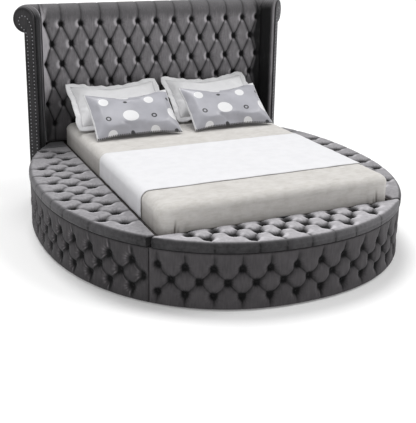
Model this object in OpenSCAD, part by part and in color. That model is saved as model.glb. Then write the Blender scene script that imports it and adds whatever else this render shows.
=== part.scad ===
// Round-ended storage bed with a tufted, winged headboard. Millimetres, +Z up,
// +Y towards the headboard, origin on the floor under the middle of the whole bed.

/* [Mattress and bedding] */
// Width of the mattress
mattress_w = 1524; // [1370:1:1830]
// Length of the mattress
mattress_l = 2032; // [1900:1:2140]
// Thickness of the mattress
mattress_t = 258; // [200:1:300]
// Radius of the mattress's corners in plan
mattress_corner = 55; // [30:1:90]
// Thickness of the fitted sheet's cloth
sheet_t = 2; // [1.5:0.1:3]
// Width of the throw, along the bed
throw_w = 800; // [400:1:1100]
// Distance of the throw's foot edge from the mattress's foot
throw_from_foot = 277; // [150:1:500]
// Thickness of the throw
throw_t = 5; // [3:0.5:8]
// Width of a back pillow
back_pillow_w = 750; // [600:1:770]
// Height of a back pillow
back_pillow_h = 490; // [420:1:520]
// Width of a front pillow
front_pillow_w = 650; // [500:1:700]
// Height of a front pillow
front_pillow_h = 430; // [360:1:450]
// Thickness of a pillow at its middle
pillow_t = 125; // [90:1:135]
// Lean of the pillows from lying flat, in degrees
pillow_lean = 36; // [30:1:42]

/* [Ring of benches] */
// Half width of the ring, measured to the edge of the lids
ring_half_w = 1207; // [1150:1:1300]
// Width of a side lid at its foot end, which sets how far the ring reaches at the foot
side_tip_w = 54.2; // [45:0.1:70]
// Exponent of the ring's outline, 2 is an ellipse
ring_power = 2.2; // [2.1:0.05:2.4]
// Height of the bench boxes, to the seam under the lids
box_h = 338; // [300:1:380]
// Distance from the floor to the boxes
glide_h = 8; // [5:1:20]
// Radius of a floor glide
glide_r = 18; // [12:1:25]
// Thickness of the curved outer wall
outer_wall_t = 18; // [12:1:22]
// Thickness of the inner wall that holds the mattress
inner_wall_t = 15; // [12:1:20]
// Thickness of a box's floor
box_floor_t = 12; // [9:1:18]
// Space between the mattress and the inner wall
mattress_gap = 3; // [2:0.5:8]
// Drop of the inner wall's top below the lids' top
inner_wall_drop = 16; // [14:1:24]

/* [Lids] */
// Height of a lid with its cushion
lid_h = 60; // [50:1:80]
// Thickness of a lid's board
lid_board_t = 15; // [12:1:18]
// Gap between a box and the lid over it
lid_seam = 4; // [2:0.5:8]
// Gap between a side lid and the foot lid
lid_joint = 12; // [10:1:20]
// Length of the fixed deck behind each side lid
deck_l = 161; // [150:1:300]
// Opening angle of the lids, in degrees
lid_open = 75; // [60:1:80]

/* [Tufting] */
// Depth of the tufts in the headboard
head_tuft = 27; // [15:1:30]
// Distance between buttons in a row of the headboard
head_pitch = 152.4; // [140:0.1:160]
// Distance between the headboard's button rows
head_row = 152.4; // [140:0.1:160]
// Depth of the tufts in the lids
lid_tuft = 20; // [10:1:24]
// Distance between buttons along a side lid
side_pitch = 165; // [150:1:180]
// Distance between the button columns of a side lid
side_row = 108; // [95:1:112]
// Distance between buttons along the foot lid
foot_pitch = 152.4; // [140:0.1:165]
// Distance between the button rows of the foot lid
foot_row = 87; // [75:1:92]
// Depth of the tufts in the skirts
skirt_tuft = 24; // [12:1:28]
// Thickness of the skirts' padding
skirt_t = 45; // [38:1:52]
// Distance between buttons along a skirt
skirt_pitch = 158; // [140:1:175]
// Distance between the button rows of a skirt
skirt_row = 80; // [70:1:85]
// Radius of a covered button
button_r = 11; // [8:0.5:13]
// Thickness of a covered button
button_t = 7; // [5:0.5:9]

/* [Headboard] */
// Height of the headboard
head_h = 1447; // [1300:1:1600]
// Radius of the roll along the top
roll_r = 97; // [80:1:100]
// Thickness of the foam behind the tufted face
pad_t = 38; // [34:1:45]
// Thickness of the plywood panel
panel_t = 12; // [9:1:15]
// Half width of the tufted face between the wings
face_half_w = 914; // [880:1:960]
// Width of a headboard post
post_w = 60; // [40:1:90]
// Height of a cross rail in the headboard
rail_h = 60; // [40:1:90]
// Thickness of the headboard's back cover
back_cover_t = 3; // [2:0.5:6]

/* [Wings] */
// Radius of a wing's outer face
wing_outer_r = 128; // [115:1:150]
// Thickness of a wing
wing_t = 100; // [96:1:110]
// Direction of a wing where it leaves the headboard, in degrees
wing_start = 8; // [4:1:12]
// Direction of a wing at its front strip, in degrees
wing_end = 47; // [38:1:52]
// Thickness of the padding inside a wing
wing_pad_t = 46; // [35:1:55]
// Thickness of a wing's outer cover
wing_cover_t = 8; // [5:0.5:12]
// Thickness of the front facing
facing_t = 10; // [6:1:16]
// Distance from a wing's edge to its facing
facing_inset = 7; // [4:1:12]
// Distance from the facing's edge to the nails
nail_inset = 18; // [14:1:24]
// Distance between nails
nail_pitch = 27; // [22:1:34]
// Radius of a nail's head
nail_r = 5.5; // [4:0.5:7]

/* [Hinges] */
// Radius of a hinge knuckle
knuckle_r = 4.5; // [4:0.25:5]
// Radius of a hinge pin
pin_r = 2.2; // [1.8:0.1:2.6]
// Clearance between a pin and its knuckles
pin_clearance = 0.05; // [0.02:0.01:0.08]
// Thickness of a hinge leaf
leaf_t = 1.6; // [1.2:0.1:1.8]
// Length of a hinge
hinge_l = 90; // [70:1:120]

/* [Slatted support] */
// Number of slats
slat_count = 13; // [9:1:16]
// Width of a slat
slat_w = 70; // [50:1:80]
// Thickness of a slat
slat_t = 20; // [15:1:25]
// Height of the ledges and the centre beam
ledge_h = 45; // [30:1:60]
// Thickness of a ledge
ledge_t = 28; // [20:1:40]
// Width of the centre beam
beam_w = 60; // [40:1:90]
// Radius of a centre leg
leg_r = 22; // [16:1:30]

/* [Hidden] */
$fn = 48;

velvet = "#6f6f76";
velvet_dark = "#4a4a50";
timber = "#b99a6b";
steel = "#b8babd";
linen = "#d8d5cc";
white_cloth = "#f2f2f4";
satin_grey = "#b9bbc4";

seat = 0.3;
touch = 0.05;

ring_a = ring_half_w;
half_w = mattress_w / 2;

// Places along the bed, measured from the middle of the ring
mattress_set_back = 26;
mattress_head = mattress_l / 2 - mattress_set_back;
mattress_foot = mattress_head - mattress_l;
head_front = mattress_head + 2;
mattress_mid = (mattress_head + mattress_foot) / 2;
panel_front = head_front + pad_t;
head_back = head_front + roll_r;
head_roll_z = head_h - roll_r;
base_head = panel_front - touch;

lid_bottom = box_h + lid_seam;
lid_top = lid_bottom + lid_h;
cushion_bottom = lid_bottom + lid_board_t;
inner_wall_top = lid_top - inner_wall_drop;
inner_wall_x = half_w + mattress_gap;
box_x = inner_wall_x + inner_wall_t;
foot_wall_y = mattress_foot - mattress_gap;
box_y = foot_wall_y - inner_wall_t;
deck_top = lid_top - 6;

leaf_gap = 0.4;
axis_x = box_x + leaf_t + leaf_gap + touch;
axis_y = box_y - leaf_t - leaf_gap - touch;
axis_z = inner_wall_top + knuckle_r + 2;
lid_inner_gap = knuckle_r + 1;
board_x = axis_x + leaf_gap + leaf_t + touch;
board_y = axis_y - leaf_gap - leaf_t - touch;
side_lid_x = axis_x + lid_inner_gap;
foot_lid_y = axis_y - lid_inner_gap;
side_lid_foot = foot_lid_y + lid_joint;
side_lid_head = head_front - deck_l - 2;
// Half length of the ring whose outline passes the foot corner of the side lids
ring_b = abs(side_lid_foot)
    / pow(1 - pow((side_lid_x + side_tip_w) / ring_a, ring_power), 1 / ring_power);
edge_round = 14;
board_inset = 3;

skirt_inset = 5;
skirt_chord = 0.9;
skirt_bottom = glide_h;
skirt_top = box_h - 2;
wall_inset = skirt_inset + skirt_t + skirt_chord;
wall_inner_inset = wall_inset + outer_wall_t;

mattress_bottom = lid_top - 112;
mattress_top = mattress_bottom + mattress_t;
sheet_top = mattress_top + sheet_t + seat;

// Centre of the circle that a wing follows
wing_r = wing_outer_r + wing_t;
wing_cx = face_half_w + wing_r * cos(wing_start);
wing_cy = head_front + 8 + wing_r * sin(wing_start);
wing_roll_r = wing_r - roll_r;
wing_bottom = glide_h;

// The whole bed reaches from the foot of the ring to the back of the roll
bed_shift_y = (ring_b - (head_back + roll_r)) / 2;

module in_place() {
    translate([0, bed_shift_y, 0])
        children();
}

module both_sides() {
    children();
    mirror([1, 0, 0])
        children();
}

// Outline of the ring, drawn in by an inset
ring_steps = 120;
function power_of(v, e) = sign(v) * pow(abs(v), e);
function ring_point(t, inset) = [
    (ring_a - inset) * power_of(cos(t), 2 / ring_power),
    (ring_b - inset) * power_of(sin(t), 2 / ring_power)
];
function ring_x(y, inset) =
    (ring_a - inset) * pow(max(0, 1 - pow(abs(y) / (ring_b - inset), ring_power)), 1 / ring_power);
function ring_y(x, inset) =
    -(ring_b - inset) * pow(max(0, 1 - pow(abs(x) / (ring_a - inset), ring_power)), 1 / ring_power);

module ring_2d(inset) {
    polygon([for (i = [0:ring_steps - 1]) ring_point(i * 360 / ring_steps, inset)]);
}

// Height of a tuft between its buttons: 0 at a button, 1 at the middle of a diamond
crease_share = 0.3;
function tuft(p, q) =
    let (s = abs(sin(90 * (p + q))), t = abs(sin(90 * (p - q))))
    crease_share * sqrt(s * t) + (1 - crease_share) * (s + t) / 2;

// Drop of a rounded edge at a distance from it
function edge_drop(e, r) = e >= r ? 0 : r - sqrt(max(0, r * r - pow(r - max(e, 0), 2)));

// A closed solid swept through a row of sections. Each section is a list of front
// points, split with a middle point in each cell, then a list of back points. The
// ends are closed with a fan round a point of their own where core gives one.
module swept(us, vs, front, back, flip = false, core = undef) {
    nu = len(us) - 1;
    nv = len(vs) - 1;
    ring = nv + 1 + len(back(us[0]));
    first_middle = (nu + 1) * ring;
    first_core = first_middle + nu * nv;
    points = concat(
        [for (u = us) each concat([for (v = vs) front(u, v)], back(u))],
        [for (i = [0:nu - 1]) for (j = [0:nv - 1])
            front((us[i] + us[i + 1]) / 2, (vs[j] + vs[j + 1]) / 2)],
        is_undef(core) ? [] : [core(us[0]), core(us[nu])]
    );
    front_faces = [for (i = [0:nu - 1]) for (j = [0:nv - 1])
        let (
            a = i * ring + j,
            b = a + ring,
            c = b + 1,
            d = a + 1,
            m = first_middle + i * nv + j
        )
        each [[a, m, b], [b, m, c], [c, m, d], [d, m, a]]];
    back_faces = [for (i = [0:nu - 1]) for (j = [nv:ring - 1])
        let (
            k = (j + 1) % ring,
            a = i * ring + j,
            b = a + ring,
            c = (i + 1) * ring + k,
            d = i * ring + k
        )
        each [[a, c, b], [a, d, c]]];
    ends = is_undef(core)
        ? [[for (j = [ring - 1:-1:0]) j], [for (j = [-1:ring - 2]) nu * ring + (j + ring) % ring]]
        : [for (j = [0:ring - 1])
            let (k = (j + 1) % ring)
            each [[first_core, k, j], [first_core + 1, nu * ring + j, nu * ring + k]]];
    faces = concat(front_faces, back_faces, ends);
    polyhedron(
        points = points,
        faces = flip ? [for (f = faces) [for (k = [0:len(f) - 1]) f[(len(f) - k) % len(f)]]] : faces
    );
}

// Bench boxes
module side_box_walls() {
    color(timber) {
        // Straight inner wall, which also keeps the mattress in place
        translate([0, 0, glide_h])
            linear_extrude(inner_wall_top - glide_h)
                intersection() {
                    ring_2d(wall_inset);
                    translate([inner_wall_x, box_y])
                        square([inner_wall_t, base_head - box_y]);
                }
        translate([0, 0, glide_h])
            linear_extrude(box_h - glide_h)
                difference() {
                    side_walls_2d();
                    wing_space_2d();
                }
    }
}
// Outer wall of a side bench, and the cross walls under the two ends of its fixed deck
module side_walls_2d() {
    intersection() {
        difference() {
            ring_2d(wall_inset);
            ring_2d(wall_inner_inset);
        }
        translate([box_x - 1, box_y])
            square([ring_a, base_head - box_y]);
    }
    for (y = [side_lid_head, base_head - inner_wall_t])
        intersection() {
            ring_2d(wall_inset + outer_wall_t / 2);
            translate([box_x - 1, y])
                square([ring_a, inner_wall_t]);
        }
}
// Plan of the room that a wing takes
module wing_space_2d() {
    translate([wing_cx, wing_cy])
        circle(r = wing_r + 2, $fn = 96);
}

module side_box_floor() {
    color(timber)
        translate([0, 0, glide_h])
            linear_extrude(box_floor_t)
                intersection() {
                    ring_2d(wall_inner_inset + seat);
                    translate([box_x + touch, box_y])
                        square([ring_a, side_lid_head - box_y - touch]);
                }
}

module foot_box_walls() {
    in_place() color(timber) {
        translate([0, 0, glide_h])
            linear_extrude(inner_wall_top - glide_h)
                intersection() {
                    ring_2d(wall_inset);
                    translate([-inner_wall_x + touch, box_y])
                        square([2 * (inner_wall_x - touch), inner_wall_t]);
                }
        translate([0, 0, glide_h])
            linear_extrude(box_h - glide_h)
                intersection() {
                    difference() {
                        ring_2d(wall_inset);
                        ring_2d(wall_inner_inset);
                    }
                    translate([-inner_wall_x + touch, -ring_b])
                        square([2 * (inner_wall_x - touch), ring_b + box_y + 1]);
                }
    }
}

module foot_box_floor() {
    in_place() color(timber)
        translate([0, 0, glide_h])
            linear_extrude(box_floor_t)
                intersection() {
                    ring_2d(wall_inner_inset + seat);
                    translate([-ring_a, -ring_b])
                        square([2 * ring_a, ring_b + box_y - touch]);
                }
}

module left_box_walls() { in_place() mirror([1, 0, 0]) side_box_walls(); }
module right_box_walls() { in_place() side_box_walls(); }
module left_box_floor() { in_place() mirror([1, 0, 0]) side_box_floor(); }
module right_box_floor() { in_place() side_box_floor(); }

// Tufted skirts. A place along a skirt is an angle of the ring's formula that is
// found from the arc length, so that the buttons are evenly spaced.
arc_steps = 360;
function skirt_curve(i) = ring_point(-90 + i * 180 / arc_steps, skirt_inset);
function running(list, i = 0, sum = 0) =
    i >= len(list) ? [sum] : concat([sum], running(list, i + 1, sum + list[i]));
arc_parts = [for (i = [0:arc_steps - 1]) norm(skirt_curve(i + 1) - skirt_curve(i))];
arc_sums = running(arc_parts);
arc_table = [for (i = [0:arc_steps]) [arc_sums[i], i]];
function arc_point(s) =
    let (
        f = lookup(abs(s), arc_table),
        i = min(floor(f), arc_steps - 1),
        p = skirt_curve(i) + (skirt_curve(i + 1) - skirt_curve(i)) * (f - i)
    )
    [sign(s + 0.0001) * p.x, p.y];
function arc_normal(s) =
    let (d = arc_point(s + 2) - arc_point(s - 2), n = norm(d))
    [d.y / n, -d.x / n];
function arc_at_y(y) =
    let (t = [for (i = [0:arc_steps]) [skirt_curve(i).y, arc_sums[i]]])
    lookup(y, t);

skirt_mid_z = (skirt_bottom + skirt_top) / 2 - 11;
skirt_edge = 10;
skirt_join = 2;
skirt_foot_s = arc_at_y(box_y) - skirt_join;
skirt_side_s = arc_at_y(box_y) + skirt_join;
wing_front_y = wing_cy - wing_r * sin(wing_end);
skirt_head_s = arc_at_y(wing_front_y - facing_t - 6);

function skirt_q(z) = (z - skirt_mid_z) / skirt_row;
function skirt_p(s) = s / (skirt_pitch / 2);
function skirt_depth(s, z, s0, s1) =
    let (
        q = skirt_q(z),
        p = skirt_p(s),
        inner = tuft(p, min(max(q, -1), 1)),
        past = max(abs(q) - 1, 0),
        edge = edge_drop(min(z - skirt_bottom, skirt_top - z, s - s0, s1 - s), skirt_edge)
    )
    skirt_tuft * (1 - inner) * max(0.25, 1 - 0.9 * past) + edge;

module skirt(s0, s1) {
    half = skirt_pitch / 2;
    k0 = ceil((s0 + skirt_edge + 8) / half);
    k1 = floor((s1 - skirt_edge - 8) / half);
    us = concat([s0, s0 + skirt_edge], [for (k = [k0:k1]) k * half], [s1 - skirt_edge, s1]);
    vs = [skirt_bottom, skirt_bottom + skirt_edge, skirt_mid_z - skirt_row, skirt_mid_z,
        skirt_mid_z + skirt_row, skirt_top - skirt_edge, skirt_top];
    front = function(s, z)
        let (p = arc_point(s), n = arc_normal(s), d = skirt_depth(s, z, s0, s1))
        [p.x - n.x * d, p.y - n.y * d, z];
    back = function(s)
        let (p = arc_point(s), n = arc_normal(s), x = p.x - n.x * skirt_t, y = p.y - n.y * skirt_t)
        [[x, y, skirt_top], [x, y, skirt_bottom]];
    core = function(s)
        let (p = arc_point(s), n = arc_normal(s), d = skirt_t - 2)
        [p.x - n.x * d, p.y - n.y * d, skirt_mid_z];
    swept(us, vs, front, back, false, core);
}

// Height at which a button clears the slopes round it: they rise from its place
// (u, v) to the neighbours' places us and vs
lift_spare = 1.35;
function button_lift(height, u, v, us, vs) =
    seat + lift_spare * button_r * max([for (n = [[us[0], v], [us[1], v], [u, vs[0]], [u, vs[1]]])
        (height(n.x, n.y) - height(u, v)) / norm(n - [u, v])]);

module skirt_button_row(s0, s1) {
    half = skirt_pitch / 2;
    margin = button_r * 2.2;
    height = function(s, z) -skirt_depth(s, z, s0, s1);
    for (q = [-1:1])
        for (k = [ceil((s0 + margin) / half):floor((s1 - margin) / half)])
            if ((k + q) % 2 == 0) {
                s = k * half;
                p = arc_point(s);
                n = arc_normal(s);
                z = skirt_mid_z + q * skirt_row;
                d = skirt_tuft - button_lift(height, s, z,
                    [max(s - half, s0 + skirt_edge), min(s + half, s1 - skirt_edge)],
                    [max(z - skirt_row, skirt_bottom + skirt_edge),
                        min(z + skirt_row, skirt_top - skirt_edge)]);
                translate([p.x - n.x * d, p.y - n.y * d, z])
                    rotate([0, 90, atan2(n.y, n.x)])
                        cylinder(h = button_t, r = button_r);
            }
}

module left_skirt() { in_place() color(velvet_dark) mirror([1, 0, 0]) skirt(skirt_side_s, skirt_head_s); }
module right_skirt() { in_place() color(velvet_dark) skirt(skirt_side_s, skirt_head_s); }
module foot_skirt() { in_place() color(velvet_dark) skirt(-skirt_foot_s, skirt_foot_s); }
module left_skirt_buttons() {
    in_place() color(velvet_dark) mirror([1, 0, 0]) skirt_button_row(skirt_side_s, skirt_head_s);
}
module right_skirt_buttons() {
    in_place() color(velvet_dark) skirt_button_row(skirt_side_s, skirt_head_s);
}
module foot_skirt_buttons() {
    in_place() color(velvet_dark) skirt_button_row(-skirt_foot_s, skirt_foot_s);
}

// Fixed decks between the side lids and the headboard
module rear_deck() {
    color(velvet_dark)
        translate([0, 0, box_h])
            linear_extrude(deck_top - box_h)
                difference() {
                    intersection() {
                        ring_2d(skirt_inset + 3);
                        translate([box_x + touch, side_lid_head + 4])
                            square([ring_a, head_front - seat - side_lid_head - 4]);
                    }
                    wing_space_2d();
                }
}
module left_rear_deck() { in_place() mirror([1, 0, 0]) rear_deck(); }
module right_rear_deck() { in_place() rear_deck(); }

// Slatted support
slat_top = mattress_bottom - seat;
slat_bottom = slat_top - slat_t;
rail_front = base_head - 25;
rail_screw_z = 200;
bolt_r = 4;
rail_bolts_x = [-600, -220, 220, 600];

module head_rail() {
    in_place() color(timber)
        difference() {
            translate([-inner_wall_x + touch, rail_front, 60])
                cube([2 * (inner_wall_x - touch), base_head - rail_front, slat_bottom - 62]);
            for (x = rail_bolts_x)
                translate([x, rail_front - 1, rail_screw_z])
                    rotate([-90, 0, 0])
                        cylinder(h = base_head - rail_front + 2, r = bolt_r + 0.25);
        }
}

ledge_foot = foot_wall_y + touch;
ledge_head = rail_front - touch;
module slat_ledges() {
    in_place() color(timber)
        both_sides()
            translate([inner_wall_x - ledge_t - touch, ledge_foot, slat_bottom - ledge_h])
                cube([ledge_t, ledge_head - ledge_foot, ledge_h]);
}

module centre_beam() {
    in_place() color(timber)
        translate([-beam_w / 2, ledge_foot, slat_bottom - ledge_h])
            cube([beam_w, ledge_head - ledge_foot, ledge_h]);
}

leg_places = [-0.34, 0, 0.34];
module centre_legs() {
    in_place() color(steel)
        for (f = leg_places)
            translate([0, mattress_mid + f * mattress_l, glide_h])
                cylinder(h = slat_bottom - ledge_h - glide_h, r = leg_r);
}

slat_pitch = (ledge_head - ledge_foot - slat_w - 40) / (slat_count - 1);
module slats() {
    in_place() color("#d9bd8b")
        for (i = [0:slat_count - 1])
            translate([-inner_wall_x + 2, ledge_foot + 20 + i * slat_pitch, slat_bottom])
                cube([2 * (inner_wall_x - 2), slat_w, slat_t]);
}

// Glides stand under the walls of the boxes, the centre legs and the headboard
glide_in = wall_inset + outer_wall_t / 2 + glide_r * 0.6;
module glide(x, y) {
    translate([x, y, 0])
        cylinder(h = glide_h, r = glide_r);
}
module floor_glides() {
    in_place() color("#222226") {
        both_sides() {
            for (t = [-40, -20, 0, 20])
                let (p = ring_point(t, glide_in))
                    glide(p.x, p.y);
            glide(box_x, mattress_mid - 0.135 * mattress_l);
            glide(box_x, mattress_mid + 0.234 * mattress_l);
            glide(box_x, base_head - 60);
            glide(box_x, box_y + 60);
            glide(0.46 * half_w, ring_y(0.46 * half_w, glide_in));
            glide(post_x, post_mid_y);
            glide(wing_foot.x, wing_foot.y);
        }
        for (f = leg_places)
            glide(0, mattress_mid + f * mattress_l);
        glide(0, box_y + inner_wall_t / 2);
    }
}

// Angle brackets that join the boxes at the corners of the mattress well
bracket_leg = 40;
bracket_t = 3;
bracket_low = 70;
bracket_l = 130;
module corner_bracket() {
    translate([-bracket_leg, 0, bracket_low])
        cube([bracket_leg, bracket_t, bracket_l]);
    translate([-bracket_t, 0, bracket_low])
        cube([bracket_t, bracket_leg, bracket_l]);
}
module corner_brackets() {
    in_place() color(steel)
        both_sides() {
            translate([inner_wall_x - touch, foot_wall_y + touch, 0])
                corner_bracket();
            translate([inner_wall_x - touch, rail_front - touch, 0])
                mirror([0, 1, 0])
                    corner_bracket();
        }
}

// Hinges. A fixed leaf lies on the inner wall, a lid leaf runs down to the lid's board.
side_hinges = [0.12, 0.38, 0.62, 0.88];
foot_hinges = [-0.36, 0, 0.36];
knuckle_gap = 0.5;
end_knuckle = hinge_l * 0.25;
leaf_low = lid_bottom - 30;

module knuckle_bore(l) {
    translate([0, 0, -1])
        cylinder(h = l + 2, r = pin_r + pin_clearance);
}
// Drawn along +X with the lid towards -Y and the mattress towards +Y, axis at the origin
module fixed_leaf() {
    difference() {
        union() {
            for (x = [0, hinge_l - end_knuckle])
                translate([x, 0, 0]) {
                    rotate([0, 90, 0])
                        cylinder(h = end_knuckle, r = knuckle_r);
                    translate([0, leaf_gap, leaf_low - axis_z])
                        cube([end_knuckle, leaf_t, axis_z - leaf_low]);
                }
            translate([0, leaf_gap, leaf_low - axis_z])
                cube([hinge_l, leaf_t, axis_z - leaf_low - knuckle_r - 1]);
        }
        rotate([0, 90, 0])
            knuckle_bore(hinge_l);
    }
}
module lid_leaf() {
    middle = hinge_l - 2 * end_knuckle - 2 * knuckle_gap;
    start = end_knuckle + knuckle_gap;
    difference() {
        union() {
            translate([start, 0, 0])
                rotate([0, 90, 0])
                    cylinder(h = middle, r = knuckle_r);
            translate([start, -leaf_gap - leaf_t, lid_bottom - axis_z + 1])
                cube([middle, leaf_t, axis_z - lid_bottom - 1]);
        }
        translate([start, 0, 0])
            rotate([0, 90, 0])
                knuckle_bore(middle);
    }
}
module hinge_pin() {
    rotate([0, 90, 0])
        cylinder(h = hinge_l, r = pin_r);
}

side_lid_l = side_lid_head - side_lid_foot;
module on_side_hinges() {
    for (f = side_hinges)
        translate([axis_x, side_lid_foot + f * side_lid_l - hinge_l / 2, axis_z])
            rotate([0, 0, 90])
                children();
}
module on_foot_hinges() {
    for (f = foot_hinges)
        translate([f * 2 * half_w - hinge_l / 2, axis_y, axis_z])
            children();
}
module fixed_hinge_leaves() {
    in_place() color(steel) {
        both_sides() on_side_hinges() fixed_leaf();
        on_foot_hinges() fixed_leaf();
    }
}
module hinge_pins() {
    in_place() color(steel) {
        both_sides() on_side_hinges() hinge_pin();
        on_foot_hinges() hinge_pin();
    }
}

// Side lids
lid_corner = 40;
function side_lid_edge(y) =
    let (
        outer = ring_x(y, 0),
        e = side_lid_head - y,
        cut = e < lid_corner ? lid_corner - sqrt(lid_corner * lid_corner - pow(lid_corner - e, 2)) : 0
    )
    outer - cut;
side_first_x = 875;
side_first_y = 24;
function side_p(y) = (y - side_first_y) / (side_pitch / 2);
function side_q(x) = (x - side_first_x) / side_row;
side_last_q = 2;

module side_lid_board() {
    color(timber)
        translate([0, 0, lid_bottom])
            linear_extrude(lid_board_t)
                polygon(concat(
                    [[board_x, side_lid_foot + board_inset]],
                    [for (i = [0:30])
                        let (y = side_lid_foot + board_inset
                            + (side_lid_l - lid_corner - board_inset) * i / 30)
                        [side_lid_edge(y) - board_inset, y]],
                    [for (a = [15:15:90])
                        [ring_x(side_lid_head - lid_corner * (1 - sin(a)), 0) - board_inset
                            - lid_corner * (1 - cos(a)),
                            side_lid_head - lid_corner * (1 - sin(a)) - board_inset * sin(a)]],
                    [[board_x, side_lid_head - board_inset]]
                ));
}

function side_lid_z(x, y) =
    let (
        outer = side_lid_edge(y),
        e = min(x - side_lid_x, outer - x, y - side_lid_foot, side_lid_head - y),
        q = side_q(x),
        p = side_p(y),
        rise = tuft(p, min(max(q, 0), side_last_q)),
        fade = e < 45 ? 0.35 + 0.65 * max(e, 0) / 45 : 1
    )
    lid_top - lid_tuft * (1 - rise) * fade - edge_drop(e, edge_round);

function side_column(y, j) =
    let (outer = side_lid_edge(y), x = side_first_x + j * side_row)
    min(x, outer - edge_round - (side_last_q + 1 - j) * 3);

module side_lid_cushion() {
    half = side_pitch / 2;
    k0 = ceil(side_p(side_lid_foot + edge_round + 8));
    k1 = floor(side_p(side_lid_head - edge_round - 8));
    us = concat([side_lid_foot, side_lid_foot + edge_round / 3, side_lid_foot + edge_round],
        [for (k = [k0:k1]) side_first_y + k * half],
        [side_lid_head - edge_round, side_lid_head - edge_round / 3, side_lid_head]);
    vs = [0, 1, 2, 3, 4, 5];
    column = function(y, v)
        let (
            outer = side_lid_edge(y),
            xs = [side_lid_x, side_lid_x + edge_round / 2,
                side_column(y, 0), side_column(y, 1), side_column(y, 2), outer],
            i = min(floor(v), 4),
            f = v - i
        )
        xs[i] + (xs[i + 1] - xs[i]) * f;
    front = function(y, v)
        let (x = column(y, v))
        [x, y, side_lid_z(x, y)];
    back = function(y)
        [[side_lid_edge(y), y, cushion_bottom], [side_lid_x, y, cushion_bottom]];
    color(velvet)
        swept(us, vs, front, back, true);
}

module side_lid_buttons() {
    half = side_pitch / 2;
    margin = button_r * 2.5;
    height = function(x, y) side_lid_z(x, y);
    color(velvet)
        for (q = [0:side_last_q])
            for (k = [ceil(side_p(side_lid_foot + margin)):floor(side_p(side_lid_head - margin))]) {
                x = side_first_x + q * side_row;
                y = side_first_y + k * half;
                lift = button_lift(height, x, y,
                    [max(x - side_row, side_lid_x + edge_round / 2),
                        min(x + side_row, side_lid_edge(y))],
                    [max(y - half, side_lid_foot + edge_round),
                        min(y + half, side_lid_head - edge_round)]);
                if ((k + q) % 2 == 0 && x < side_lid_edge(y) - 1.5 * margin - edge_round)
                    translate([x, y, side_lid_z(x, y) + lift])
                        cylinder(h = button_t, r = button_r);
            }
}

module left_lid_board() { in_place() mirror([1, 0, 0]) side_lid_board(); }
module left_lid_cushion() { in_place() mirror([1, 0, 0]) side_lid_cushion(); }
module left_lid_buttons() { in_place() mirror([1, 0, 0]) side_lid_buttons(); }
module left_lid_hinge_leaves() {
    in_place() color(steel) mirror([1, 0, 0]) on_side_hinges() lid_leaf();
}
module right_lid_board() { in_place() side_lid_board(); }
module right_lid_cushion() { in_place() side_lid_cushion(); }
module right_lid_buttons() { in_place() side_lid_buttons(); }
module right_lid_hinge_leaves() {
    in_place() color(steel) on_side_hinges() lid_leaf();
}

// Foot lid
foot_tip = 17;
function tip_x(x0, x1, y, n = 0) =
    n > 18 ? x0 : let (m = (x0 + x1) / 2) ring_y(m, 0) < y ? tip_x(m, x1, y, n + 1) : tip_x(x0, m, y, n + 1);
foot_lid_x = tip_x(half_w - 200, ring_a, foot_lid_y - foot_tip);
foot_first_y = foot_lid_y - 34;
function foot_p(x) = x / (foot_pitch / 2);
function foot_q(y) = (foot_first_y - y) / foot_row;
foot_last_q = 2;

module foot_lid_board() {
    steps = 40;
    x1 = foot_lid_x - board_inset;
    in_place() color(timber)
        translate([0, 0, lid_bottom])
            linear_extrude(lid_board_t)
                polygon(concat(
                    [for (i = [0:steps])
                        let (x = -x1 + 2 * x1 * i / steps)
                        [x, ring_y(x, 0) + board_inset]],
                    [[x1, board_y], [-x1, board_y]]
                ));
}

function foot_lid_z(x, y) =
    let (
        outer = ring_y(x, 0),
        e = min(foot_lid_y - y, y - outer, foot_lid_x - abs(x)),
        rise = tuft(foot_p(x), min(max(foot_q(y), 0), foot_last_q)),
        fade = e < 45 ? 0.35 + 0.65 * max(e, 0) / 45 : 1
    )
    lid_top - lid_tuft * (1 - rise) * fade - edge_drop(e, edge_round);

module foot_lid_cushion() {
    half = foot_pitch / 2;
    k1 = floor(foot_p(foot_lid_x - edge_round - 8));
    us = concat([-foot_lid_x, -foot_lid_x + edge_round / 3, -foot_lid_x + edge_round],
        [for (k = [-k1:k1]) k * half],
        [foot_lid_x - edge_round, foot_lid_x - edge_round / 3, foot_lid_x]);
    vs = [0, 1, 2, 3, 4, 5];
    line = function(x, v)
        let (
            outer = ring_y(x, 0),
            room = foot_lid_y - outer,
            r = min(edge_round, room * 0.4),
            low = outer + r,
            ys = [foot_lid_y, foot_lid_y - r / 2,
                max(foot_first_y, low + 0.6 * (room - 2 * r)),
                max(foot_first_y - foot_row, low + 0.3 * (room - 2 * r)),
                max(foot_first_y - 2 * foot_row, low), outer],
            i = min(floor(v), 4),
            f = v - i
        )
        ys[i] + (ys[i + 1] - ys[i]) * f;
    front = function(x, v)
        let (y = line(x, v))
        [x, y, foot_lid_z(x, y)];
    back = function(x)
        [[x, ring_y(x, 0), cushion_bottom], [x, foot_lid_y, cushion_bottom]];
    in_place() color(velvet)
        swept(us, vs, front, back, true);
}

module foot_lid_buttons() {
    half = foot_pitch / 2;
    margin = button_r * 2.5;
    height = function(x, y) foot_lid_z(x, y);
    last = floor(foot_p(foot_lid_x));
    in_place() color(velvet)
        for (q = [0:foot_last_q])
            for (k = [-last:last]) {
                x = k * half;
                y = foot_first_y - q * foot_row;
                lift = button_lift(height, x, y, [x - half, x + half],
                    [max(y - foot_row, ring_y(x, 0)),
                        min(y + foot_row, foot_lid_y - edge_round / 2)]);
                if ((k + q) % 2 == 0 && y > ring_y(x, 0) + margin + edge_round)
                    translate([x, y, foot_lid_z(x, y) + lift])
                        cylinder(h = button_t, r = button_r);
            }
}
module foot_lid_hinge_leaves() { in_place() color(steel) on_foot_hinges() lid_leaf(); }

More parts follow.
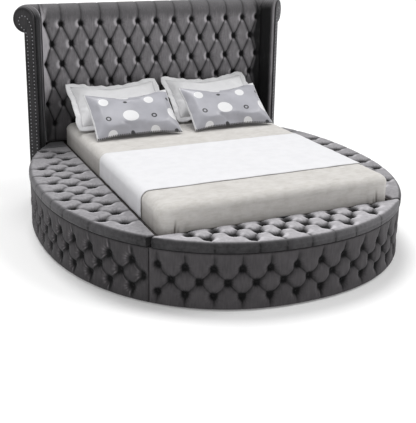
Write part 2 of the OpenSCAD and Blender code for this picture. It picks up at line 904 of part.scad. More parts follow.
// Headboard
post_x = face_half_w - post_w - 4;
post_depth = head_back - back_cover_t - panel_front - panel_t - 2 * touch;
post_mid_y = panel_front + panel_t + touch + post_depth / 2;
frame_top = head_roll_z - roll_r - seat;
pad_bottom = deck_top + 4;

module headboard_frame() {
    in_place() color(timber)
        difference() {
            union() {
                both_sides()
                    translate([post_x - post_w / 2, post_mid_y - post_depth / 2, glide_h])
                        cube([post_w, post_depth, frame_top - glide_h]);
                for (z = [rail_screw_z - rail_h / 2, (rail_screw_z + frame_top - rail_h) / 2, frame_top - rail_h])
                    translate([-post_x, post_mid_y - post_depth / 2, z])
                        cube([2 * post_x, post_depth, rail_h]);
            }
            for (x = rail_bolts_x)
                translate([x, panel_front, rail_screw_z])
                    rotate([-90, 0, 0])
                        cylinder(h = head_back - panel_front, r = bolt_r + 0.25);
        }
}

module headboard_panel() {
    in_place() color(timber)
        difference() {
            translate([-panel_half, panel_front, glide_h])
                cube([2 * panel_half, panel_t, frame_top - glide_h]);
            for (x = rail_bolts_x)
                translate([x, panel_front - 1, rail_screw_z])
                    rotate([-90, 0, 0])
                        cylinder(h = panel_t + 2, r = bolt_r + 0.25);
        }
}

module headboard_back_cover() {
    in_place() color(velvet_dark)
        translate([-panel_half, head_back - back_cover_t, glide_h])
            cube([2 * panel_half, back_cover_t, frame_top - glide_h]);
}

bolt_l = head_back - back_cover_t - rail_front - 14;
module headboard_bolts() {
    in_place() color(steel)
        for (x = rail_bolts_x)
            translate([x, rail_front - 4, rail_screw_z]) {
                rotate([-90, 0, 0])
                    cylinder(h = bolt_l, r = bolt_r);
                translate([0, -3, 0])
                    rotate([-90, 0, 0])
                        cylinder(h = 7 - touch, r = 9);
            }
}

// Button rows count from the third row down
head_row_z = head_roll_z - 45 - 2 * head_row;
function head_q(z) = (z - head_row_z) / head_row;
function head_p(x) = x / (head_pitch / 2);
head_rows = ceil((head_row_z - pad_bottom) / head_row);
head_low_z = head_row_z - (head_rows - 1) * head_row;

// Front of the headboard: v is a height up to the roll, then an angle over the roll
function head_depth(x, z) =
    let (q = head_q(z), p = head_p(x))
    q <= 2 ? head_tuft * (1 - tuft(p, q)) * (z < head_low_z ? 0.7 : 1)
        : head_tuft * (1 - abs(sin(90 * p))) * max(0.25, 1 - (z - head_row_z - 2 * head_row) / 90);
function head_point(x, z, angle) =
    let (d = angle > 0 ? head_tuft * 0.25 * (1 - abs(sin(90 * head_p(x)))) : head_depth(x, z))
    [x, head_back - (roll_r - d) * cos(angle), z + (roll_r - d) * sin(angle)];

module headboard_pad() {
    half = head_pitch / 2;
    k1 = floor((face_half_w - 0.5) / half);
    inner = face_half_w - 1;
    us = k1 * half > inner - 8
        ? concat([-inner], [for (k = [-k1 + 1:k1 - 1]) k * half], [inner])
        : concat([-inner], [for (k = [-k1:k1]) k * half], [inner]);
    flat = concat([pad_bottom], [for (k = [head_rows - 1:-1:-2]) head_row_z - k * head_row],
        [head_roll_z]);
    vs = concat([for (z = flat) [z, 0]], [for (a = [24:24:120]) [head_roll_z, a]]);
    front = function(x, v) head_point(x, v[0], v[1]);
    back = function(x) concat(
        [for (a = [150:30:270]) head_point(x, head_roll_z, a)],
        [[x, panel_front - touch, head_roll_z - roll_r], [x, panel_front - touch, pad_bottom]]
    );
    in_place() color(velvet)
        swept(us, vs, front, back);
}

module headboard_buttons() {
    half = head_pitch / 2;
    last = floor((face_half_w - button_r) / half);
    height = function(x, z) -head_depth(x, z);
    in_place() color(velvet)
        for (q = [2:-1:-(head_rows - 1)])
            for (k = [-last:last])
                if ((k + q) % 2 == 0 && abs(k * half) < face_half_w - 2 * button_r)
                    let (
                        x = k * half,
                        z = head_row_z + q * head_row,
                        lift = button_lift(height, x, z, [x - half, x + half],
                            [max(z - head_row, pad_bottom), min(z + head_row, head_roll_z)])
                    )
                    translate([x, head_front + head_tuft - lift, z])
                        rotate([90, 0, 0])
                            cylinder(h = button_t, r = button_r);
}

// Wings, drawn for the right side. The plan is a ring sector round a circle outside
// the bed, and a corner block that joins it to the back.
wing_span = wing_end - wing_start;
function wing_at(r, angle) = [wing_cx - r * cos(angle), wing_cy - r * sin(angle)];
wing_foot = wing_at(wing_outer_r + wing_t / 2, (wing_start + wing_end) / 2);
corner_out = wing_at(wing_outer_r, wing_start);
corner_in = wing_at(wing_r, wing_start);
roll_in = wing_at(wing_roll_r, wing_start);
// Where the wing's roll, carried straight back, meets the roll of the back
roll_corner = [roll_in.x - (head_back - roll_in.y) * tan(wing_start), head_back];
cover_corner = [corner_out.x - (head_back - corner_out.y) * tan(wing_start), head_back];

module sweep_sector() {
    translate([wing_cx, wing_cy, 0])
        rotate([0, 0, 180 + wing_start])
            rotate_extrude(angle = wing_span, $fn = 96)
                children();
}

panel_half = face_half_w - 2;
wing_side = panel_half + touch;
core_outer_r = wing_outer_r + wing_cover_t + touch;
core_inner_r = wing_r - wing_pad_t - touch;
wing_steps = 16;
module wing_core() {
    color(timber)
        translate([0, 0, wing_bottom])
            linear_extrude(frame_top - wing_bottom)
                polygon(concat(
                    [for (i = [0:wing_steps]) wing_at(core_outer_r, wing_end - i * wing_span / wing_steps)],
                    [
                        cover_corner - [wing_cover_t + touch, wing_cover_t + touch],
                        [wing_side, head_back - wing_cover_t - touch],
                        [wing_side, panel_front + 1]
                    ],
                    [for (i = [0:wing_steps]) wing_at(core_inner_r, wing_start + i * wing_span / wing_steps)]
                ));
}

roll_turn = atan2(roll_corner.y - roll_in.y, roll_corner.x - roll_in.x);
roll_mitre = (roll_turn + 180) / 2;
roll_side = face_half_w - 0.5;
// Keeps what lies on one side of the mitre between two straight rolls
module mitred(sign) {
    intersection() {
        children();
        translate([roll_corner.x, roll_corner.y, head_roll_z])
            rotate([0, 0, roll_mitre])
                translate([sign > 0 ? touch : -4 * roll_r - touch, -3 * roll_r, -2 * roll_r])
                    cube([4 * roll_r, 6 * roll_r, 4 * roll_r]);
    }
}
module wing_pad() {
    color(velvet) {
        sweep_sector()
            union() {
                translate([wing_r - wing_pad_t, wing_bottom])
                    square([wing_pad_t, head_roll_z - wing_bottom]);
                translate([wing_roll_r, head_roll_z])
                    circle(r = roll_r, $fn = 72);
            }
        // The roll carried to the back corner and mitred there
        mitred(-1)
            translate([roll_in.x, roll_in.y, head_roll_z])
                rotate([-90, 0, roll_turn - 90])
                    translate([0, 0, touch])
                        cylinder(h = norm(roll_corner - roll_in) + 2 * roll_r, r = roll_r, $fn = 72);
        mitred(1)
            translate([roll_side, head_back, head_roll_z])
                rotate([0, 90, 0])
                    cylinder(h = roll_corner.x - roll_side + 2 * roll_r, r = roll_r, $fn = 72);
    }
}

module wing_cover() {
    color(velvet_dark)
        translate([0, 0, wing_bottom])
            linear_extrude(frame_top - wing_bottom)
                polygon(concat(
                    [for (i = [0:wing_steps]) wing_at(wing_outer_r, wing_end - i * wing_span / wing_steps)],
                    [
                        cover_corner,
                        [wing_side, head_back],
                        [wing_side, head_back - wing_cover_t],
                        cover_corner - [wing_cover_t, wing_cover_t]
                    ],
                    [for (i = [0:wing_steps])
                        wing_at(wing_outer_r + wing_cover_t, wing_start + i * wing_span / wing_steps)]
                ));
}

// Front strip with its scroll head, drawn upright in the plane of the wing's front end
module at_wing_front() {
    translate([wing_cx, wing_cy, 0])
        rotate([90, 0, 180 + wing_end])
            children();
}
module facing_2d(inset) {
    union() {
        translate([wing_outer_r + inset, wing_bottom])
            square([wing_t - 2 * inset, head_roll_z - wing_bottom]);
        translate([wing_roll_r, head_roll_z])
            circle(r = roll_r - inset, $fn = 72);
    }
}
module wing_facing() {
    color(velvet_dark)
        at_wing_front()
            translate([0, 0, -facing_t - touch])
                linear_extrude(facing_t)
                    facing_2d(facing_inset);
}

nail_edge = facing_inset + nail_inset;
nail_loop_r = roll_r - nail_edge;
nail_low = 40;
nail_outer_x = wing_outer_r + nail_edge;
nail_inner_x = wing_r - nail_edge;
nail_join_angle = asin(min(1, (nail_outer_x - wing_roll_r) / nail_loop_r));
nail_join_z = head_roll_z - nail_loop_r * cos(nail_join_angle);
module nail() {
    translate([0, 0, -facing_t - touch - 2.5])
        cylinder(h = 2.5 - touch, r = nail_r);
}
module wing_nails() {
    loop_turn = 270 - nail_join_angle;
    loop_count = round(loop_turn * PI / 180 * nail_loop_r / nail_pitch);
    color("#c9cbd0")
        at_wing_front() {
            for (z = [nail_low:nail_pitch:head_roll_z - nail_pitch / 2])
                translate([nail_inner_x, z, 0])
                    nail();
            for (z = [nail_low:nail_pitch:nail_join_z - nail_pitch / 2])
                translate([nail_outer_x, z, 0])
                    nail();
            for (i = [0:loop_count])
                let (a = i * loop_turn / loop_count)
                    translate([wing_roll_r + nail_loop_r * cos(a), head_roll_z + nail_loop_r * sin(a), 0])
                        nail();
        }
}

module left_wing_core() { in_place() mirror([1, 0, 0]) wing_core(); }
module left_wing_pad() { in_place() mirror([1, 0, 0]) wing_pad(); }
module left_wing_cover() { in_place() mirror([1, 0, 0]) wing_cover(); }
module left_wing_facing() { in_place() mirror([1, 0, 0]) wing_facing(); }
module left_wing_nails() { in_place() mirror([1, 0, 0]) wing_nails(); }
module right_wing_core() { in_place() wing_core(); }
module right_wing_pad() { in_place() wing_pad(); }
module right_wing_cover() { in_place() wing_cover(); }
module right_wing_facing() { in_place() wing_facing(); }
module right_wing_nails() { in_place() wing_nails(); }

// Mattress and its fitted sheet, from rings of a rounded rectangle
corner_points = 5;
function plan_point(k, w, l, r) =
    let (
        c = floor(k / corner_points),
        a = c * 90 + (k % corner_points) * 90 / (corner_points - 1),
        sx = (c == 0 || c == 3) ? 1 : -1,
        sy = (c == 0 || c == 1) ? 1 : -1
    )
    [sx * (w / 2 - r) + r * cos(a), sy * (l / 2 - r) + r * sin(a)];
// Heights below the top and how far each ring is drawn in
mattress_rings = [[0.985, 0], [0.6, -2], [0.22, -1], [0.09, 7], [0.03, 24], [0.006, 70], [0, 260]];
function bed_ring(f, inset, grow, top, h) = [
    for (k = [0:4 * corner_points - 1])
        let (
            r = max(mattress_corner + grow - inset * 0.4, 12),
            p = plan_point(k, mattress_w + 2 * (grow - inset), mattress_l + 2 * (grow - inset), r)
        )
        [p.x, p.y + mattress_mid, top - f * h]
];
function bed_rings(grow, top, h) = [for (m = mattress_rings) each bed_ring(m[0], m[1], grow, top, h)];
function shell_faces(rings, off, flip) =
    let (
        n = 4 * corner_points,
        sides = [for (i = [0:rings - 2]) for (k = [0:n - 1])
            let (a = off + i * n + k, b = off + i * n + (k + 1) % n, c = b + n, d = a + n)
            each (flip ? [[a, b, c], [a, c, d]] : [[a, c, b], [a, d, c]])],
        cap = [for (k = [0:n - 1]) off + (rings - 1) * n + k]
    )
    concat(sides, [flip ? cap : [for (k = [n - 1:-1:0]) cap[k]]]);

module mattress() {
    n = 4 * corner_points;
    cloth = sheet_t + 2 * seat;
    points = concat(
        bed_ring(1, 6, -cloth, mattress_top, mattress_t),
        bed_rings(-cloth, mattress_top, mattress_t - 6)
    );
    in_place() color(linen)
        polyhedron(
            points = points,
            faces = concat(shell_faces(len(mattress_rings) + 1, 0, false), [[for (k = [0:n - 1]) k]])
        );
}

module fitted_sheet() {
    n = 4 * corner_points;
    rings = len(mattress_rings);
    outer = bed_rings(0, sheet_top, mattress_t - 30);
    inner = bed_rings(-sheet_t, sheet_top - sheet_t, mattress_t - 30);
    rim = [for (k = [0:n - 1])
        let (a = k, b = (k + 1) % n, c = b + rings * n, d = a + rings * n)
        each [[a, b, c], [a, c, d]]];
    in_place() color(linen)
        polyhedron(
            points = concat(outer, inner),
            faces = concat(shell_faces(rings, 0, false), shell_faces(rings, rings * n, true), rim)
        );
}

// Throw, laid over the mattress and tucked down both sides
throw_foot = mattress_foot + throw_from_foot;
throw_hang = mattress_top - inner_wall_top - 4;
throw_turn = 34;
function throw_path(off) =
    let (
        side = half_w + 2.6 + off,
        top = sheet_top + seat + off,
        r = throw_turn + off,
        right = concat(
            [[side, top - throw_hang], [side, top - throw_hang * 0.55]],
            [for (a = [0:22.5:90]) [side - r + r * cos(a), top - r + r * sin(a)]],
            [for (f = [0.75, 0.5, 0.25]) [side * f, top]]
        ),
        n = len(right)
    )
    concat(right, [[0, top]], [for (i = [n - 1:-1:0]) [-right[i].x, right[i].y]]);

module throw() {
    outer = throw_path(throw_t);
    inner = throw_path(0);
    n = len(outer);
    ys = [0, 0.25, 0.5, 0.75, 1];
    // Slack in the cloth makes it rise and fall a little along the bed
    wave = function(i, k, f) (k < 4 || k > n - 5) ? 0 : 1.6 * f * (1 + cos(360 * (i * 0.37 + k * 0.21)));
    points = [for (i = [0:len(ys) - 1]) each concat(
        [for (k = [0:n - 1]) [outer[k].x, throw_foot + ys[i] * throw_w, outer[k].y + wave(i, k, 1)]],
        [for (k = [n - 1:-1:0]) [inner[k].x, throw_foot + ys[i] * throw_w, inner[k].y + wave(i, k, 0.8)]]
    )];
    ring = 2 * n;
    sides = [for (i = [0:len(ys) - 2]) for (k = [0:ring - 1])
        let (a = i * ring + k, b = i * ring + (k + 1) % ring, c = b + ring, d = a + ring)
        each [[a, b, c], [a, c, d]]];
    ends = [for (k = [0:n - 2])
        let (a = k, b = k + 1, c = ring - 2 - k, d = ring - 1 - k, e = (len(ys) - 1) * ring)
        each [[a, c, b], [a, d, c], [e + a, e + b, e + c], [e + a, e + c, e + d]]];
    in_place() color(white_cloth)
        polyhedron(points = points, faces = concat(sides, ends));
}

pillow_rim = 4;
// Pillows: a crowned form with drawn-in sides between its corners
function pillow_rise(u, v) = pow(max(0, (1 - pow(abs(u), 2.6)) * (1 - pow(abs(v), 2.6))), 0.55);
function pillow_edge(u, v, w, h) = [
    u * w / 2 * (1 - 0.045 * (1 - v * v)),
    v * h / 2 * (1 - 0.07 * (1 - u * u))
];
module pillow(w, h, t) {
    nu = len(pillow_us);
    nv = len(pillow_vs);
    top = [for (u = pillow_us) for (v = pillow_vs) pillow_front(u, v, w, h, t)];
    low = [for (p = top) [p.x, p.y, -p.z]];
    off = nu * nv;
    cells = [for (i = [0:nu - 2]) for (j = [0:nv - 2])
        let (a = i * nv + j, b = a + nv, c = b + 1, d = a + 1)
        each [[a, c, b], [a, d, c], [off + a, off + b, off + c], [off + a, off + c, off + d]]];
    loop = concat([for (i = [0:nu - 1]) i * nv], [for (j = [1:nv - 1]) (nu - 1) * nv + j],
        [for (i = [nu - 2:-1:0]) i * nv + nv - 1], [for (j = [nv - 2:-1:1]) j]);
    edge = [for (k = [0:len(loop) - 1])
        let (a = loop[k], b = loop[(k + 1) % len(loop)])
        each [[a, b, off + b], [a, off + b, off + a]]];
    polyhedron(points = concat(top, low), faces = concat(cells, edge));
}

back_pillow_x = back_pillow_w / 2 + 14;
front_pillow_x = front_pillow_w / 2 + 50;
pillow_us = [-1, -0.9, -0.7, -0.4, 0, 0.4, 0.7, 0.9, 1];
pillow_vs = [-1, -0.85, -0.55, 0, 0.55, 0.85, 1];
function pillow_front(u, v, w, h, t) =
    let (p = pillow_edge(u, v, w, h))
    [p.x, p.y, (pillow_rim + (t - pillow_rim) * pillow_rise(u, v)) / 2];
// The lowest place of a leaning pillow, from the foot of its height
function pillow_low(w, h, t) = min([for (u = pillow_us) for (v = pillow_vs)
    let (p = pillow_front(u, v, w, h, t))
    (p.y + h / 2) * sin(pillow_lean) - p.z * cos(pillow_lean)]);
module leaning_pillow(x, foot_y, w, h) {
    translate([x, foot_y, sheet_top + seat - pillow_low(w, h, pillow_t)])
        rotate([pillow_lean, 0, 0])
            translate([0, h / 2, 0])
                pillow(w, h, pillow_t);
}
back_pillow_y = head_front - back_pillow_h * cos(pillow_lean) - 8;
front_pillow_y = back_pillow_y - pillow_t / sin(pillow_lean) * 1.06 - 40;
module left_back_pillow() {
    in_place() color(white_cloth)
        leaning_pillow(-back_pillow_x, back_pillow_y, back_pillow_w, back_pillow_h);
}
module right_back_pillow() {
    in_place() color(white_cloth)
        leaning_pillow(back_pillow_x, back_pillow_y, back_pillow_w, back_pillow_h);
}
module left_front_pillow() {
    in_place() color(satin_grey)
        leaning_pillow(-front_pillow_x, front_pillow_y, front_pillow_w, front_pillow_h);
}
module right_front_pillow() {
    in_place() color(satin_grey)
        leaning_pillow(front_pillow_x, front_pillow_y, front_pillow_w, front_pillow_h);
}

left_box_walls();
left_box_floor();
left_skirt();
left_skirt_buttons();
left_rear_deck();
foot_box_walls();
foot_box_floor();
foot_skirt();
foot_skirt_buttons();
right_box_walls();
right_box_floor();
right_skirt();
right_skirt_buttons();
right_rear_deck();
head_rail();
slat_ledges();
centre_beam();
centre_legs();
slats();
floor_glides();
corner_brackets();
fixed_hinge_leaves();
hinge_pins();
left_lid_board();
left_lid_cushion();
left_lid_buttons();
left_lid_hinge_leaves();
foot_lid_board();
foot_lid_cushion();
foot_lid_buttons();
foot_lid_hinge_leaves();
right_lid_board();
right_lid_cushion();
right_lid_buttons();
right_lid_hinge_leaves();
headboard_frame();
headboard_panel();
headboard_pad();
headboard_buttons();
headboard_back_cover();
headboard_bolts();
left_wing_core();
left_wing_pad();
left_wing_cover();
left_wing_facing();
left_wing_nails();
right_wing_core();
right_wing_pad();
right_wing_cover();
right_wing_facing();
right_wing_nails();
mattress();
fitted_sheet();
throw();
left_back_pillow();
right_back_pillow();
left_front_pillow();
right_front_pillow();
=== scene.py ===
"""Upholstered look of the round-ended storage bed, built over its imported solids.

Shapes are worked out in millimetres in the bed's own frame, whose origin is on the
floor under the middle of the ring, and go to the row frame as metres.
"""

import logging
import math
from dataclasses import dataclass, replace
from enum import Enum
from typing import Callable, Sequence

import bmesh
import bpy
import numpy as np
from mathutils import Matrix, Vector


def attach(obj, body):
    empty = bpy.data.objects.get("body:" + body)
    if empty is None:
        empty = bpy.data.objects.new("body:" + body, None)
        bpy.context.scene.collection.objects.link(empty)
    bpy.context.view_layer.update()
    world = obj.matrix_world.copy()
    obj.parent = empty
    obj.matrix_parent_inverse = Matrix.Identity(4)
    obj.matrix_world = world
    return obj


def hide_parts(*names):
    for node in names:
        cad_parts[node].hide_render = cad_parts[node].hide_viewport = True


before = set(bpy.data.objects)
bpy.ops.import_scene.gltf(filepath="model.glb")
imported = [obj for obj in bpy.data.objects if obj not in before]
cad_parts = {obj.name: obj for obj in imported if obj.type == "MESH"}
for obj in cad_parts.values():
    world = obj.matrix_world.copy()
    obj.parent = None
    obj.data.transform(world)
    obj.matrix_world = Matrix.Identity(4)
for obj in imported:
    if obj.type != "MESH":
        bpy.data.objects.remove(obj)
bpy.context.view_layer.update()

MM = 0.001
BED_SHIFT_Y = 101.025
log = logging.getLogger("bed")

Array = np.ndarray
Shape = tuple[np.ndarray, list[list[int]]]
Spots = dict[tuple[int, int], tuple[float, float]]
Colour = tuple[float, float, float]
Material = bpy.types.Material
Piece = bpy.types.Object
Socket = bpy.types.NodeSocket


def unit(value: float | Array) -> float | Array:
    """Clip to the range from 0 to 1."""
    return np.clip(value, 0, 1)


class Side(Enum):
    """Side of the bed, seen from the foot, and its sign along X."""

    LEFT = -1
    RIGHT = 1

    @property
    def word(self) -> str:
        """Name of the side in lower case."""
        return self.name.lower()


class Slot(Enum):
    """Material slots of the record, by name; the pieces here get their materials directly."""

    VELVET = "velvet"
    VELVET_PLAIN = "velvet_plain"
    TICKING = "ticking"
    SHEET = "sheet_cloth"
    THROW = "throw_cloth"
    PILLOW = "pillow_cloth"
    SATIN = "satin_print"
    NAIL = "nail_chrome"


# Finishes


class ShaderTree:
    """A material's node tree with short ways to add nodes and join them."""

    def __init__(self, name: str) -> None:
        """Start a material with an empty tree, a Principled shader and its output.

        Args:
            name: Name of the material.
        """
        self.material = bpy.data.materials.new(name)
        self.material.use_nodes = True
        self.tree = self.material.node_tree
        self.tree.nodes.clear()
        self.shader = self.add("ShaderNodeBsdfPrincipled")
        out = self.add("ShaderNodeOutputMaterial")
        self.join(self.shader.outputs["BSDF"], out.inputs["Surface"])

    def add(self, kind: str, **values: object) -> bpy.types.Node:
        """Add a node.

        Args:
            kind: Blender's name of the node's type.
            **values: Attributes of the node, or its sockets by name with spaces as _.

        Returns:
            The new node.
        """
        node = self.tree.nodes.new(kind)
        for key, value in values.items():
            if hasattr(node, key):
                setattr(node, key, value)
            else:
                node.inputs[key.replace("_", " ")].default_value = value
        return node

    def join(self, out: Socket, into: Socket) -> None:
        """Link an output to an input."""
        self.tree.links.new(out, into)

    def set(self, **values: object) -> None:
        """Set constants on the shader's own sockets."""
        for key, value in values.items():
            self.shader.inputs[key.replace("_", " ")].default_value = value

    def place(self) -> Socket:
        """Object coordinates, in metres."""
        return self.add("ShaderNodeTexCoord").outputs["Object"]

    def noise(self, scale: float, detail: float = 2.0, rough: float = 0.5,
              stretch: Sequence[float] | None = None) -> Socket:
        """Noise over the object's own coordinates.

        Args:
            scale: Waves per metre.
            detail: Octaves of finer noise.
            rough: Share of each finer octave.
            stretch: Scale of each axis, where the grain runs one way.

        Returns:
            The noise's factor output.
        """
        tex = self.add("ShaderNodeTexNoise", Scale=scale, Detail=detail, Roughness=rough)
        where = self.place()
        if stretch is not None:
            turn = self.add("ShaderNodeMapping", Scale=tuple(stretch))
            self.join(where, turn.inputs["Vector"])
            where = turn.outputs["Vector"]
        self.join(where, tex.inputs["Vector"])
        return tex.outputs["Fac"]

    def ramp(self, factor: Socket,
             stops: Sequence[tuple[float, Sequence[float]]]) -> Socket:
        """Colour ramp.

        Args:
            factor: Value that picks the colour.
            stops: Place and linear RGB colour of each stop.

        Returns:
            The ramp's colour output.
        """
        node = self.add("ShaderNodeValToRGB")
        band = node.color_ramp
        while len(band.elements) < len(stops):
            band.elements.new(0.5)
        for element, (where, colour) in zip(band.elements, stops):
            element.position = where
            element.color = (*colour, 1.0)
        self.join(factor, node.inputs["Fac"])
        return node.outputs["Color"]

    def mix(self, factor: object, a: object, b: object, blend: str = "MIX") -> Socket:
        """Mix two colours.

        Args:
            factor: Share of the second colour, an output or a number.
            a: First colour, an output or a linear RGB colour.
            b: Second colour.
            blend: Blender's name of the way they mix.

        Returns:
            The mixed colour.
        """
        node = self.add("ShaderNodeMix", data_type="RGBA", blend_type=blend)
        for socket, value in ((0, factor), (6, a), (7, b)):
            if isinstance(value, Socket):
                self.join(value, node.inputs[socket])
            elif isinstance(value, (int, float)):
                node.inputs[socket].default_value = value
            else:
                node.inputs[socket].default_value = (*value, 1.0)
        return node.outputs[2]

    def math(self, operation: str, a: object, b: object = 0.0, c: object = 0.0) -> Socket:
        """Arithmetic on two or three values.

        Args:
            operation: Blender's name of the sum.
            a: First value, an output or a number.
            b: Second value.
            c: Third value, where the sum has one.

        Returns:
            The result.
        """
        node = self.add("ShaderNodeMath", operation=operation)
        for socket, value in ((0, a), (1, b), (2, c)):
            if isinstance(value, Socket):
                self.join(value, node.inputs[socket])
            else:
                node.inputs[socket].default_value = value
        return node.outputs[0]

    def attribute(self, name: str) -> Socket:
        """Value of a mesh attribute."""
        return self.add("ShaderNodeAttribute", attribute_name=name).outputs["Fac"]

    def bump(self, height: Socket, distance: float, strength: float,
             under: Socket | None = None) -> Socket:
        """Fine relief of the surface.

        Args:
            height: Height from 0 to 1.
            distance: Depth in metres.
            strength: Share of the relief that shows.
            under: Relief that this one lies on.

        Returns:
            The bumped normal.
        """
        node = self.add("ShaderNodeBump", Distance=distance, Strength=strength)
        self.join(height, node.inputs["Height"])
        if under is not None:
            self.join(under, node.inputs["Normal"])
        return node.outputs["Normal"]

    def finish(self, colour: Socket | None = None,
               normal: Socket | None = None,
               roughness: Socket | None = None) -> Material:
        """Join what varies to the shader.

        Args:
            colour: Base colour.
            normal: Bumped normal.
            roughness: Roughness.

        Returns:
            The finished material.
        """
        for name, socket in (("Base Color", colour), ("Normal", normal), ("Roughness", roughness)):
            if socket is not None:
                self.join(socket, self.shader.inputs[name])
        return self.material


@dataclass(frozen=True)
class Velvet:
    """Short-pile velvet: pale where its pile is seen edge on, with painted light and shade."""

    name: str
    low: Colour = (0.012, 0.012, 0.014)
    high: Colour = (0.075, 0.075, 0.081)
    sheen: float = 1.0
    sheen_roughness: float = 0.38
    tint: Colour = (0.80, 0.80, 0.84)
    # Whether light and shade are painted into the colour from a mesh attribute
    painted_light_on: bool = True
    brush: Colour = (1.0, 1.0, 0.16)

    def make(self) -> Material:
        """Build the material.

        Returns:
            The material.
        """
        t = ShaderTree(self.name)
        t.set(Roughness=0.72, Sheen_Weight=self.sheen, Sheen_Roughness=self.sheen_roughness,
              Sheen_Tint=(*self.tint, 1.0), Specular_IOR_Level=0.25)
        mid = tuple(0.70 * a + 0.30 * b for a, b in zip(self.low, self.high))
        nap = t.noise(9.0, 3.0, 0.55)
        if self.painted_light_on:
            # Painted light and shade: the attribute darkens the colour in holes, pleats and shaded sides and
            # lightens it for painted highlights
            painted_light = t.attribute("painted_light")
            lit = t.math("MULTIPLY_ADD", painted_light, 0.86, t.math("MULTIPLY", nap, 0.16))
            brushed = t.math("SUBTRACT", t.noise(105.0, 3.0, 0.6, self.brush), 0.5)
            lit = t.math("MULTIPLY_ADD", brushed, t.math("MULTIPLY_ADD", painted_light, 0.20, 0.14), lit)
        else:
            lit = t.math("MULTIPLY_ADD", nap, 0.42, 0.48)
        colour = t.ramp(lit, [(0.12, self.low), (0.55, mid), (0.96, self.high)])
        pile = t.noise(1400.0, 1.0)
        colour = t.mix(0.22, colour, t.ramp(pile, [(0.3, (0.01, 0.01, 0.012)), (0.7, (0.16, 0.16, 0.17))]),
                       "SOFT_LIGHT")
        strokes = t.bump(t.noise(26.0, 3.0, 0.6), 0.0035, 0.35)
        normal = t.bump(pile, 0.0006, 0.25, strokes)
        return t.finish(colour, normal)


@dataclass(frozen=True)
class Cotton:
    """Plain woven cotton with a fine thread and slight creases, and on the sheet painted shade."""

    name: str
    colour: Colour = (0.74, 0.73, 0.71)
    shade: Colour = (0.62, 0.61, 0.59)
    threads: float = 950.0
    crease: float = 0.004
    # Whether the cloth has slubs of yarn and painted shade
    slubs_and_painted_shade: bool = False
    # Colour of the painted shade
    painted_shade_colour: Colour = (0.075, 0.055, 0.045)

    def make(self) -> Material:
        """Build the material.

        Returns:
            The material.
        """
        t = ShaderTree(self.name)
        t.set(Roughness=0.82, Sheen_Weight=0.15, Sheen_Roughness=0.5, Specular_IOR_Level=0.3)
        tone = t.noise(14.0, 4.0, 0.6)
        colour = t.ramp(tone, [(0.25, self.shade), (0.6, self.colour)])
        if self.slubs_and_painted_shade:
            # Slubs of the yarn run across the cloth
            yarn = t.noise(60.0, 4.0, 0.65, (0.35, 1.0, 1.6))
            slubs = t.ramp(yarn, [(0.35, (0.38, 0.38, 0.37)), (0.62, (0.56, 0.56, 0.56))])
            colour = t.mix(0.45, colour, slubs, "OVERLAY")
            # Painted shade: where the mesh's attribute is low the colour goes to a dark brown
            colour = t.mix(t.attribute("painted_light"), self.painted_shade_colour, colour)
        warp = t.noise(self.threads, 1.0, stretch=(1.0, 0.12, 1.0))
        weft = t.noise(self.threads, 1.0, stretch=(0.12, 1.0, 1.0))
        weave = t.math("MAXIMUM", warp, weft)
        colour = t.mix(0.10, colour, t.ramp(weave, [(0.4, (0.4, 0.4, 0.4)), (0.7, (0.6, 0.6, 0.6))]),
                       "OVERLAY")
        creases = t.bump(t.noise(11.0, 5.0, 0.62), self.crease, 0.5)
        return t.finish(colour, t.bump(weave, 0.0004, 0.3, creases))


